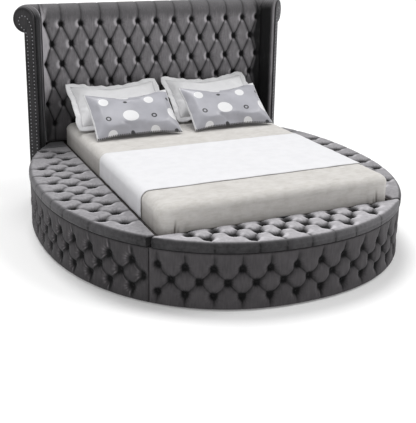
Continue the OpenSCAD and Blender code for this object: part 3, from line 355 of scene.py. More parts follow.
@dataclass(frozen=True)
class SatinPrint:
    """Grey satin with a half-drop repeat of pale discs and small dark rings."""

    name: str
    ground: Colour = (0.43, 0.43, 0.47)
    pale: Colour = (0.83, 0.83, 0.84)
    dark: Colour = (0.045, 0.045, 0.05)
    half: tuple[float, float] = (0.325, 0.215)
    repeat: tuple[float, float] = (0.33, 0.29)
    piping: float = 0.012
    trim: float = 0.0095
    stitch: float = 0.007
    gap: float = 0.0032

    def make(self) -> Material:
        """Build the material on the pillow's own UV map, whose unit is a metre.

        Returns:
            The material.
        """
        t = ShaderTree(self.name)
        t.set(Roughness=0.38, Sheen_Weight=0.25, Sheen_Roughness=0.3, Specular_IOR_Level=0.6,
              Anisotropic=0.4)
        uv = t.add("ShaderNodeUVMap", uv_map="cloth").outputs["UV"]

        def dots(across: float, up: float, radius: float) -> Socket:
            """Discs on the repeat.

            Args:
                across: How far they are moved across the cloth.
                up: How far they are moved up it.
                radius: Their radius.

            Returns:
                1 inside a disc and 0 outside.
            """
            turn = t.add("ShaderNodeMapping", Location=(across, up, 0.0))
            t.join(uv, turn.inputs["Vector"])
            split = t.add("ShaderNodeSeparateXYZ")
            t.join(turn.outputs["Vector"], split.inputs["Vector"])
            parts = []
            for axis, pitch in zip(("X", "Y"), self.repeat):
                cell = t.math("PINGPONG", split.outputs[axis], pitch / 2)
                parts.append(t.math("MULTIPLY", cell, cell))
            away = t.math("SQRT", t.math("ADD", parts[0], parts[1]))
            return t.math("GREATER_THAN", t.math("SUBTRACT", radius, away), 0.0)

        first = dots(0.04, 0.06, 0.056)
        second = dots(0.205, 0.205, 0.036)
        ring = t.math("SUBTRACT", dots(0.205, 0.075, 0.021), dots(0.205, 0.075, 0.010))
        spot = dots(0.05, 0.205, 0.015)
        cloth = t.ramp(t.noise(6.0, 3.0), [(0.3, tuple(c * 0.86 for c in self.ground)),
                                           (0.7, tuple(c * 1.12 for c in self.ground))])
        colour = t.mix(t.math("MAXIMUM", first, second), cloth, self.pale)
        colour = t.mix(t.math("MAXIMUM", ring, spot), colour, self.dark)
        # Pale piping down both sides, and a dark stitched trim along the foot
        split = t.add("ShaderNodeSeparateXYZ")
        t.join(uv, split.inputs["Vector"])
        across, up = split.outputs["X"], split.outputs["Y"]
        piping = t.math("GREATER_THAN", t.math("ABSOLUTE", across), self.half[0] - self.piping)
        stitch = t.math("MULTIPLY", t.math("LESS_THAN", up, self.trim - self.half[1]),
                        t.math("GREATER_THAN", t.math("PINGPONG", across, self.stitch), self.gap))
        colour = t.mix(piping, colour, self.pale)
        colour = t.mix(stitch, colour, self.dark)
        weave = t.noise(1300.0, 1.0, stretch=(1.0, 0.1, 1.0))
        creases = t.bump(t.noise(16.0, 4.0, 0.6), 0.003, 0.45)
        return t.finish(colour, t.bump(weave, 0.0003, 0.2, creases))


@dataclass(frozen=True)
class Timber:
    """Sawn and sanded softwood or board, with its grain along one axis."""

    name: str
    light: Colour = (0.52, 0.36, 0.20)
    dark: Colour = (0.33, 0.20, 0.10)
    along: Colour = (0.12, 1.0, 1.0)

    def make(self) -> Material:
        """Build the material.

        Returns:
            The material.
        """
        t = ShaderTree(self.name)
        t.set(Roughness=0.62, Specular_IOR_Level=0.35)
        rings = t.noise(38.0, 4.0, 0.6, self.along)
        fibres = t.noise(420.0, 2.0, 0.5, self.along)
        colour = t.ramp(rings, [(0.30, self.dark), (0.48, self.light), (0.62, self.dark), (0.8, self.light)])
        fine = [(0.35, tuple(c * 0.6 for c in self.dark)), (0.65, tuple(c * 1.2 for c in self.light))]
        colour = t.mix(0.25, colour, t.ramp(fibres, fine))
        rough = t.math("MULTIPLY_ADD", fibres, 0.25, 0.5)
        return t.finish(colour, t.bump(fibres, 0.0004, 0.35), rough)


@dataclass(frozen=True)
class Metal:
    """Plated or painted steel with fine marks."""

    name: str
    colour: Colour = (0.62, 0.63, 0.65)
    metallic: float = 1.0
    roughness: float = 0.28

    def make(self) -> Material:
        """Build the material.

        Returns:
            The material.
        """
        t = ShaderTree(self.name)
        t.set(Metallic=self.metallic)
        marks = t.noise(160.0, 4.0, 0.6)
        colour = t.ramp(marks, [(0.3, tuple(c * 0.82 for c in self.colour)), (0.7, self.colour)])
        rough = t.math("MULTIPLY_ADD", marks, 0.14, self.roughness)
        return t.finish(colour, t.bump(t.noise(900.0, 1.0), 0.0002, 0.12), rough)


@dataclass(frozen=True)
class GlidePlastic:
    """Moulded dark plastic of the floor glides."""

    name: str
    colour: Colour = (0.03, 0.03, 0.032)

    def make(self) -> Material:
        """Build the material.

        Returns:
            The material.
        """
        t = ShaderTree(self.name)
        grain = t.noise(700.0, 2.0)
        colour = t.ramp(t.noise(30.0), [(0.3, self.colour), (0.7, tuple(c * 1.6 for c in self.colour))])
        rough = t.math("MULTIPLY_ADD", grain, 0.2, 0.42)
        return t.finish(colour, t.bump(grain, 0.0003, 0.3), rough)


# Meshes


def deselect() -> None:
    """Leave nothing selected and no mesh in edit mode."""
    if bpy.context.mode != "OBJECT":
        bpy.ops.object.mode_set(mode="OBJECT")
    bpy.ops.object.select_all(action="DESELECT")


def to_row(points: Array) -> Array:
    """Millimetres in the bed's frame to metres in the row frame."""
    out = np.array(points, float).reshape(-1, 3)
    out[:, 1] += BED_SHIFT_Y
    return out * MM


def build(name: str, points: Array, faces: Sequence[Sequence[int]],
          painted_light: Array | None = None, uv: Array | None = None,
          sharp: float | None = None) -> Piece:
    """Make a smooth mesh object from points in the bed's frame.

    Args:
        name: Name of the piece.
        points: Points in millimetres.
        faces: Point numbers of each face, anticlockwise from outside.
        painted_light: Light and shade painted at each point, from 0, darkest as in a crease, to 1.
        uv: Cloth coordinates of each point, in metres.
        sharp: Angle in degrees above which an edge shows sharp.

    Returns:
        The new object, at the origin.
    """
    mesh = bpy.data.meshes.new(name)
    mesh.from_pydata(to_row(points).tolist(), [], [list(map(int, f)) for f in faces])
    mesh.validate()
    if painted_light is not None:
        # The painted light and shade go into a mesh attribute that the materials colour by
        layer = mesh.attributes.new("painted_light", "FLOAT", "POINT")
        layer.data.foreach_set("value", np.asarray(painted_light, np.float32).ravel())
    if uv is not None:
        layer = mesh.uv_layers.new(name="cloth")
        corner = np.zeros(len(mesh.loops), np.int32)
        mesh.loops.foreach_get("vertex_index", corner)
        layer.uv.foreach_set("vector", np.asarray(uv, np.float32)[corner].ravel())
    mesh.shade_smooth()
    piece = bpy.data.objects.new(name, mesh)
    bpy.context.scene.collection.objects.link(piece)
    if sharp is not None:
        deselect()
        piece.select_set(True)
        bpy.context.view_layer.objects.active = piece
        bpy.ops.object.shade_smooth_by_angle(angle=math.radians(sharp))
    return piece


def apply_modifiers(piece: Piece) -> None:
    """Apply every modifier of a piece, in order.

    Args:
        piece: The piece, whose mesh is changed.
    """
    deselect()
    piece.select_set(True)
    bpy.context.view_layer.objects.active = piece
    for modifier in list(piece.modifiers):
        bpy.ops.object.modifier_apply(modifier=modifier.name)


def swept_faces(rows: int, ring: int, split: Array | None = None) -> list[list[int]]:
    """Faces of a closed solid swept through rows of closed sections, with end caps.

    Args:
        rows: Number of sections.
        ring: Points in each section.
        split: For each cell of the first columns, True where its crease runs from the
            first corner to the opposite one, False where it runs the other way.

    Returns:
        Point numbers of each face.
    """
    i, j = np.meshgrid(np.arange(rows - 1), np.arange(ring), indexing="ij")
    k = (j + 1) % ring
    a, b, c, d = i * ring + j, (i + 1) * ring + j, (i + 1) * ring + k, i * ring + k
    faces: list[list[int]] = []
    cut = np.zeros(i.shape, bool)
    if split is not None:
        cols = split.shape[1]
        cut[:, :cols] = True
        main = cut & np.pad(split, ((0, 0), (0, ring - cols)))
        other = cut & ~np.pad(split, ((0, 0), (0, ring - cols)))
        for x, y, z in ((a, b, c), (a, c, d)):
            faces += np.stack([x[main], y[main], z[main]], 1).tolist()
        for x, y, z in ((a, b, d), (b, c, d)):
            faces += np.stack([x[other], y[other], z[other]], 1).tolist()
    rest = ~cut
    faces += np.stack([a[rest], b[rest], c[rest], d[rest]], 1).tolist()
    faces.append(list(range(ring - 1, -1, -1)))
    faces.append(list(range((rows - 1) * ring, rows * ring)))
    return faces


def outward(piece: Piece, merge: bool = True) -> Piece:
    """Turn a closed piece's faces outwards.

    Args:
        piece: The piece, whose mesh is changed.
        merge: Whether its doubles are merged first.

    Returns:
        The same piece.
    """
    work = bmesh.new()
    work.from_mesh(piece.data)
    if merge:
        bmesh.ops.remove_doubles(work, verts=work.verts, dist=1e-6)
    bmesh.ops.recalc_face_normals(work, faces=work.faces)
    if merge and work.calc_volume(signed=True) < 0:
        bmesh.ops.reverse_faces(work, faces=work.faces)
    work.to_mesh(piece.data)
    work.free()
    return piece


def mirrored(points: Array, faces: list[list[int]], side: Side) -> Shape:
    """Points and faces of a right-hand piece, mirrored for the left side.

    Args:
        points: Points in millimetres.
        faces: Point numbers of each face.
        side: Side that the piece is for.

    Returns:
        Points and faces of the piece on its side.
    """
    if side is Side.RIGHT:
        return points, faces
    return points * np.array([-1.0, 1.0, 1.0]), [list(f)[::-1] for f in faces]


def tube(path: Array, radius: float, sides: int = 8) -> Shape:
    """A round cord along an open path, closed at its ends.

    Args:
        path: Points of its centreline in millimetres.
        radius: Its radius in millimetres.
        sides: Faces round it.

    Returns:
        Points and faces.
    """
    path = np.asarray(path, float)
    along = np.gradient(path, axis=0)
    along /= np.linalg.norm(along, axis=1)[:, None]
    side = np.cross(along, [0.0, 0.0, 1.0])
    flat = np.linalg.norm(side, axis=1) < 1e-3
    side[flat] = np.cross(along[flat], [0.0, 1.0, 0.0])
    side /= np.linalg.norm(side, axis=1)[:, None]
    up = np.cross(side, along)
    turn = np.linspace(0, 2 * np.pi, sides, endpoint=False)
    points = (path[:, None, :] + radius * (np.cos(turn)[None, :, None] * side[:, None, :]
                                           + np.sin(turn)[None, :, None] * up[:, None, :]))
    return points.reshape(-1, 3), swept_faces(len(path), sides)


def joined(parts: Sequence[Shape]) -> Shape:
    """Several sets of points and faces as one.

    Args:
        parts: Points and faces of each part.

    Returns:
        All their points, and faces numbered to match.
    """
    points, faces, start = [], [], 0
    for more, its in parts:
        points.append(more)
        faces += [[k + start for k in f] for f in its]
        start += len(more)
    return np.concatenate(points), faces


def grid_quads(rows: int, cols: int, closed: bool = False) -> Array:
    """Four-sided faces of a grid of points.

    Args:
        rows: Number of rows of points.
        cols: Points in each row.
        closed: Whether each row's last point joins its first.

    Returns:
        The four point numbers of each face.
    """
    i, j = np.meshgrid(np.arange(rows - 1), np.arange(cols if closed else cols - 1), indexing="ij")
    k = (j + 1) % cols
    return np.stack([i * cols + j, (i + 1) * cols + j, (i + 1) * cols + k, i * cols + k], -1).reshape(-1, 4)


def thicken(piece: Piece, thickness: float, offset: float) -> None:
    """Give a cloth its thickness.

    Args:
        piece: The cloth, a single layer.
        thickness: Its thickness in millimetres.
        offset: -1 to thicken it inwards, 1 outwards.
    """
    solid = piece.modifiers.new("thickness", "SOLIDIFY")
    solid.thickness = thickness * MM
    solid.offset = offset
    apply_modifiers(piece)


def dome(radius: float, share: float, segments: int) -> Shape:
    """Model a domed head with its middle at the origin and its dome towards +Z.

    Args:
        radius: Its radius in millimetres.
        share: Height of its dome as a share of the radius.
        segments: Faces round it.

    Returns:
        Points in millimetres, and faces.
    """
    deselect()
    bpy.ops.mesh.primitive_uv_sphere_add(segments=segments, ring_count=8, radius=radius * MM)
    ball = bpy.context.active_object
    bpy.ops.object.mode_set(mode="EDIT")
    bpy.ops.mesh.select_all(action="SELECT")
    bpy.ops.mesh.bisect(plane_co=(0, 0, 0), plane_no=(0, 0, 1), clear_inner=True, use_fill=True)
    bpy.ops.mesh.select_all(action="SELECT")
    bpy.ops.transform.resize(value=(1, 1, share))
    bpy.ops.mesh.normals_make_consistent(inside=False)
    bpy.ops.object.mode_set(mode="OBJECT")
    points = np.array([v.co for v in ball.data.vertices]) / MM
    faces = [list(f.vertices) for f in ball.data.polygons]
    bpy.data.objects.remove(ball)
    return points, faces


def heads_at(head: Shape, places: Array,
             ways: Array) -> Shape:
    """Set a copy of a domed head at each place.

    Args:
        head: Points and faces of the head.
        places: Middle of each copy, in millimetres.
        ways: Way that each copy faces.

    Returns:
        Points and faces of all the copies.
    """
    points, faces = head
    parts = []
    for at, way in zip(places, ways):
        turn = np.array(Vector(way).to_track_quat("Z", "Y").to_matrix())
        parts.append((points @ turn.T + at, faces))
    return joined(parts)


def dress_piece(piece: Piece, node: str, skin: Material,
                body: str = "bed") -> Piece:
    """Give a finished piece its material, hang it on its moving body and hide the solid that it takes the
    place of.

    Args:
        piece: The piece.
        node: Solid that it takes the place of.
        skin: Its material.
        body: Moving body that it rides on.

    Returns:
        The same piece.
    """
    piece.data.materials.clear()
    piece.data.materials.append(skin)
    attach(piece, body)
    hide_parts(node)
    return piece


# Tufting


def pleat_lines(spots: Spots, low: Callable[[float], float],
                high: Callable[[float], float]) -> Array:
    """Pleats between neighbouring buttons, and on from the last ones to the panel's edges.

    Args:
        spots: Place of each button by its half pitch and its row.
        low: Edge of the panel before the first row, at a place along the rows.
        high: Edge of the panel after the last row.

    Returns:
        Both ends of each pleat, as four numbers in a row.
    """
    out = []
    for (k, q), (x, y) in spots.items():
        for step, edge in ((1, high), (-1, low)):
            after = [spots[n] for n in ((k - 1, q + step), (k + 1, q + step)) if n in spots]
            if not after:
                out.append((x, y, x, edge(x)))
            elif step > 0:
                out += [(x, y, *p) for p in after]
    return np.array(out)


@dataclass(frozen=True)
class Tufting:
    """Deep buttoning: domes of cloth between the pleats that join the button holes.

    The first six are millimetres: depth and radius of a hole, height of the domes, how
    far a pleat draws the cloth in, and the depth and width of its nip. The rest give
    the painted shade and light of the cloth, with lit_way as the direction in which its
    painted highlights lie.
    """

    hole: float
    hole_r: float
    swell: float
    spread: float
    nip: float
    nip_w: float
    dark_r: float
    base: float
    gleam: float
    line_dark: float
    lit_way: float = math.pi
    rim: float = 0.0
    folds: int = 14
    fold_reach: float = 36.0
    fold_start: float = 16.0
    fold_depth: float = 1.5
    bow: float = 2.2

    def relief(self, x: Array, y: Array, holes: Array,
               pleats: Array) -> tuple[Array, Array]:
        """Depth of the cloth and the light and shade painted on it.

        Args:
            x: Place along the surface, in millimetres.
            y: Place across it.
            holes: Place of each button hole.
            pleats: Both ends of each pleat.

        Returns:
            Depth in millimetres, and a painted shade from 0 in a hole to 1 on a dome.
        """
        near, line = np.full_like(x, 1e3), np.full_like(x, 1e3)
        angle, turn, lean = np.zeros_like(x), np.zeros_like(x), np.zeros_like(x)
        for n, (bx, by) in enumerate(holes):
            r = np.hypot(x - bx, y - by)
            angle = np.where(r < near, np.arctan2(y - by, x - bx), angle)
            turn = np.where(r < near, 1.9 * n, turn)
            near = np.minimum(near, r)
        for x0, y0, x1, y1 in pleats:
            close = (abs(x - (x0 + x1) / 2) < abs(x1 - x0) / 2 + self.spread) \
                & (abs(y - (y0 + y1) / 2) < abs(y1 - y0) / 2 + self.spread)
            dx, dy = x1 - x0, y1 - y0
            px, py = x[close] - x0, y[close] - y0
            f = unit((px * dx + py * dy) / (dx * dx + dy * dy))
            # Each pleat bows a little, as folded cloth does
            bow = self.bow * np.sin(np.pi * f) * np.sin(x0 * 0.37 + y0 * 0.61 + dx)
            length = math.hypot(dx, dy)
            vx, vy = px - f * dx + bow * dy / length, py - f * dy - bow * dx / length
            away = np.hypot(vx, vy)
            towards = (vx * math.cos(self.lit_way) + vy * math.sin(self.lit_way)) / np.maximum(away, 1e-6)
            lean[close] = np.where(away < line[close], towards, lean[close])
            line[close] = np.minimum(line[close], away)
        dome = 1 - np.minimum(line, self.spread) / self.spread
        low = self.swell * (1 - np.sqrt(1 - dome ** 2)) + self.nip * np.exp(-line / self.nip_w)
        deep = low + (self.hole - low) * np.exp(-(near / self.hole_r) ** 1.6)
        # Small folds run out from each button, with painted streaks of light and shade along them, and a
        # painted highlight lies on one side of it
        rays = np.cos(self.folds * angle + turn + 1.6 * np.cos(2 * angle + turn)) \
            * np.exp(-(near / self.fold_reach) ** 2) * unit(near / self.fold_start)
        bright = np.exp(-((near - 1.5 * self.dark_r) / (0.6 * self.dark_r)) ** 2) \
            * unit(0.08 + np.cos(angle - self.lit_way))
        # Painted shade, dark in each hole, towards the pleats and along each pleat's line, with painted
        # streaks and a painted highlight beside each hole
        shade = self.base * (1 - 1.45 * np.exp(-(near / self.dark_r) ** 2.6) - 0.30 * dome ** 2 + 0.22 * rays)
        shade += self.gleam * bright - self.line_dark * np.exp(-line / 4.5)
        # A thin painted rim of light runs down the pleats' bright side, and their other side is painted dark
        lit = np.exp(-((line - 7) / 5) ** 2) * unit(lean) * unit(near / 30 - 0.4)
        shade += self.rim * (lit - 1.2 * np.exp(-((line - 8) / 14) ** 2) * unit(-lean))
        return deep - self.fold_depth * rays, unit(shade)


# Painted shade and light of each panel: base is the painted brightness of its domes, gleam and rim its
# painted highlights and shade; the left skirt is painted darker than the right
SKIRT_TUFTS = Tufting(hole=33.0, hole_r=26.0, swell=10.0, spread=36.0, nip=2.0, nip_w=3.5, dark_r=21.0,
                      base=0.40, gleam=0.12, line_dark=0.14, rim=0.07)
LEFT_SKIRT_TUFTS = replace(SKIRT_TUFTS, dark_r=23.0, base=0.32, gleam=0.07, lit_way=0.0, rim=0.17)
LID_TUFTS = Tufting(hole=36.0, hole_r=27.0, swell=8.0, spread=36.0, nip=1.6, nip_w=3.5, dark_r=27.0,
                    base=0.72, gleam=0.36, line_dark=0.26)
FOOT_LID_TUFTS = replace(LID_TUFTS, hole_r=28.0, swell=10.0, nip=3.0, base=0.84, gleam=0.40,
                         line_dark=0.45, lit_way=math.pi / 2)
HEADBOARD_TUFTS = Tufting(hole=36.0, hole_r=23.0, swell=9.0, spread=30.0, nip=2.5, nip_w=3.0, dark_r=21.0,
                          base=0.66, gleam=0.60, line_dark=0.40, lit_way=math.radians(200))


def crease_split(along: Array, across: Array, half_pitch: float, row: float,
                 mid: float) -> Array:
    """Which way to split each cell of a grid, so that its crease follows the pleats.

    Args:
        along: Places of the grid's rows, along the rows of buttons.
        across: Places of its columns, across them.
        half_pitch: Half the distance between the buttons of a row.
        row: Distance between the rows of buttons.
        mid: Place across of the row that the others count from.

    Returns:
        True for each cell whose crease starts at its first corner.
    """
    p = (along[:-1] + along[1:])[:, None] / 2 / half_pitch
    q = ((across[:-1] + across[1:])[None, :] / 2 - mid) / row
    return abs((p - q + 1) % 2 - 1) < abs((p + q + 1) % 2 - 1)


def wander(x: Array, y: Array, scale: float, seed: int) -> Array:
    """Smooth unevenness from a few crossing waves.

    Args:
        x: Places along the surface.
        y: Places across it.
        scale: About how long each wave is.
        seed: Number that the waves are drawn from.

    Returns:
        Height at each place, between about -1 and 1.
    """
    rng = np.random.default_rng(seed)
    out = np.zeros_like(x)
    for _ in range(6):
        a = rng.uniform(0, 2 * np.pi)
        f = 2 * np.pi / (scale * rng.uniform(0.6, 1.6))
        out += np.sin(f * (x * math.cos(a) + y * math.sin(a)) + rng.uniform(0, 2 * np.pi))
    return out / 6


@dataclass
class CoveredButton:
    """A domed, cloth-covered button, modelled once and set into the tufting."""

    radius: float = 10.0
    height: float = 4.5
    segments: int = 14
    seat: float = 0.3

    def __post_init__(self) -> None:
        """Model the button."""
        self.head = dome(self.radius, self.height / self.radius, self.segments)

    def group(self, name: str, places: Array, ways: Array) -> Piece:
        """Set one button at each place.

        Args:
            name: Name of the piece.
            places: Middle of each button, in millimetres.
            ways: Way each button faces.

        Returns:
            The buttons as one object.
        """
        points, faces = heads_at(self.head, places, ways)
        # The buttons are painted near black, standing in for the shade in the holes they sit in
        return build(name, points, faces, painted_light=np.full(len(points), 0.05), sharp=50)


# The ring's plan


@dataclass(frozen=True)
class Ring:
    """Outline of the ring of benches in plan."""

    half_w: float = 1207.0
    half_l: float = 1388.05
    power: float = 2.2
    steps: int = 1440
    join_y: float = -1060.0
    head_y: float = 848.98

    def point(self, t: Array, inset: float = 0.0) -> Array:
        """Points of the outline.

        Args:
            t: Angles of the formula.
            inset: How far the outline is drawn in.

        Returns:
            Place across and along of each point.
        """
        c, s = np.cos(t), np.sin(t)
        e = 2 / self.power
        return np.stack([(self.half_w - inset) * np.sign(c) * abs(c) ** e,
                         (self.half_l - inset) * np.sign(s) * abs(s) ** e], -1)

    def x_at(self, y: Array, inset: float = 0.0) -> Array:
        """Half width of the ring, for places along the bed and an inset."""
        rest = 1 - (abs(y) / (self.half_l - inset)) ** self.power
        return (self.half_w - inset) * np.maximum(rest, 0) ** (1 / self.power)

    def y_at(self, x: Array, inset: float = 0.0) -> Array:
        """Distance of the foot's outline from the middle, for places across the bed and an inset."""
        rest = 1 - (abs(x) / (self.half_w - inset)) ** self.power
        return (self.half_l - inset) * np.maximum(rest, 0) ** (1 / self.power)

    def arc(self, inset: float) -> tuple[Array, Array]:
        """The right half of the outline, from the foot's middle.

        Args:
            inset: How far the outline is drawn in.

        Returns:
            Arc length at each point, and the points.
        """
        t = np.radians(np.linspace(-90, 90, self.steps + 1))
        pts = self.point(t, inset)
        run = np.concatenate([[0], np.cumsum(np.linalg.norm(np.diff(pts, axis=0), axis=1))])
        return run, pts


RING = Ring()


@dataclass
class TuftedSkirt:
    """Tufted outer wall of one bench, wrapped round the ring."""

    name: str
    start: float
    end: float
    side: Side = Side.RIGHT
    inset: float = 5.0
    thickness: float = 44.5
    low: float = 8.0
    high: float = 336.0
    mid_z: float = 161.0
    row: float = 80.0
    half_pitch: float = 79.0
    join_gap: float = 2.0
    end_margin: float = 24.0
    edge: float = 11.0
    end_fade: float = 34.0
    rim_fade: float = 44.0
    cells: int = 14
    tufting: Tufting = SKIRT_TUFTS

    def at(self, s: Array) -> tuple[Array, Array]:
        """Find where the wall runs.

        Args:
            s: Arc length from the foot's middle.

        Returns:
            Point of the outline, and its outward normal.
        """
        run, pts = RING.arc(self.inset)
        a = abs(s)
        p = np.stack([np.sign(s + 1e-9) * np.interp(a, run, pts[:, 0]), np.interp(a, run, pts[:, 1])], -1)
        slope = np.gradient(pts, axis=0)
        slope /= np.linalg.norm(slope, axis=1)[:, None]
        n = np.stack([np.sign(s + 1e-9) * np.interp(a, run, slope[:, 1]),
                      -np.interp(a, run, slope[:, 0])], -1)
        return p, n / np.linalg.norm(n, axis=-1, keepdims=True)

    def spots(self) -> Spots:
        """Arc length and height of each button.

        Returns:
            Place of each button.
        """
        first = math.ceil((self.start + self.end_margin) / self.half_pitch)
        last = math.floor((self.end - self.end_margin) / self.half_pitch)
        return {(k, q): (k * self.half_pitch, self.mid_z + q * self.row)
                for q in (-1, 0, 1) for k in range(first, last + 1) if (k + q) % 2 == 0}

    def depth(self, s: Array, z: Array) -> tuple[Array, Array]:
        """Shape the wall's cloth.

        Args:
            s: Arc lengths.
            z: Heights.

        Returns:
            How far the cloth lies behind the outline, and its painted shade.
        """
        spots = self.spots()
        holes = np.array(list(spots.values()))
        pleats = pleat_lines(spots, lambda x: self.low - 20, lambda x: self.high + 20)
        deep, shade = self.tufting.relief(s, z, holes, pleats)
        ends = np.minimum(s - self.start, self.end - s)
        rim = np.minimum(z - self.low, self.high - z)
        fade = (0.15 + 0.85 * unit(ends / self.end_fade)) \
            * (0.12 + 0.88 * unit(rim / self.rim_fade))
        edge = np.minimum(rim, ends)
        drop = np.where(edge < self.edge, self.edge - np.sqrt(np.maximum(
            self.edge ** 2 - (self.edge - np.maximum(edge, 0)) ** 2, 0)), 0) * 0.7
        upright = 0.9 * wander(s * 2.2, z * 0.3, 60, 12)
        sway = 1.6 * wander(s, z * 0.45, 75, 11)
        out = (deep + sway + upright + 1.6) * fade + drop
        # Painted highlights: going round towards the sides, the domes' flanks are painted brighter, as if
        # they caught more of the light
        base = self.tufting.base
        shade = unit(shade + 4.0 * np.maximum(shade - base, 0) * unit(s / 900) ** 2)
        return np.maximum(out, 0.0), base - (base - shade) * unit(fade * 1.3)

    def make(self) -> Piece:
        """Build the padded wall.

        Returns:
            The piece.
        """
        step = self.half_pitch / self.cells
        mid = np.arange(math.ceil((self.start + 2) / step), math.floor((self.end - 2) / step) + 1) * step
        s = np.concatenate([[self.start], mid, [self.end]])
        step_z = self.row / self.cells
        mid_z = self.mid_z + np.arange(math.ceil((self.low + 2 - self.mid_z) / step_z),
                                       math.floor((self.high - 2 - self.mid_z) / step_z) + 1) * step_z
        z = np.concatenate([[self.low], mid_z, [self.high]])
        grid_s, grid_z = np.meshgrid(s, z, indexing="ij")
        deep, painted_light = self.depth(grid_s, grid_z)
        p, n = self.at(s)
        front = np.concatenate([p[:, None, :] - n[:, None, :] * deep[..., None], grid_z[..., None]], -1)
        back_xy = p - n * self.thickness
        back = np.stack([np.concatenate([back_xy, np.full((len(s), 1), h)], 1)
                         for h in (self.high, self.low)], 1)
        points = np.concatenate([front, back], 1)
        painted_light = np.concatenate([painted_light, np.full((len(s), 2), 0.5)], 1)
        split = crease_split(s, z, self.half_pitch, self.row, self.mid_z)
        pts, faces = mirrored(points.reshape(-1, 3), swept_faces(len(s), points.shape[1], split), self.side)
        return build(self.name + "_padding", pts, faces, painted_light=painted_light.ravel())

    def make_buttons(self, button: CoveredButton) -> Piece:
        """Set the buttons into the wall.

        Args:
            button: The button to copy.

        Returns:
            The buttons as one object.
        """
        spots = np.array(list(self.spots().values()))
        p, n = self.at(spots[:, 0])
        deep, _ = self.depth(spots[:, 0], spots[:, 1])
        places = np.concatenate([p - n * (deep + button.seat)[:, None], spots[:, 1:]], 1)
        ways = np.concatenate([n, np.zeros((len(n), 1))], 1)
        if self.side is Side.LEFT:
            places[:, 0] *= -1
            ways[:, 0] *= -1
        return button.group(self.name + "_tufts", places, ways)

    def dress(self, cloth: Material, button: CoveredButton) -> list[Piece]:
        """Build and finish the wall and its buttons, in the given cloth."""
        return [dress_piece(self.make(), self.name, cloth),
                dress_piece(self.make_buttons(button), self.name + "_buttons", cloth)]


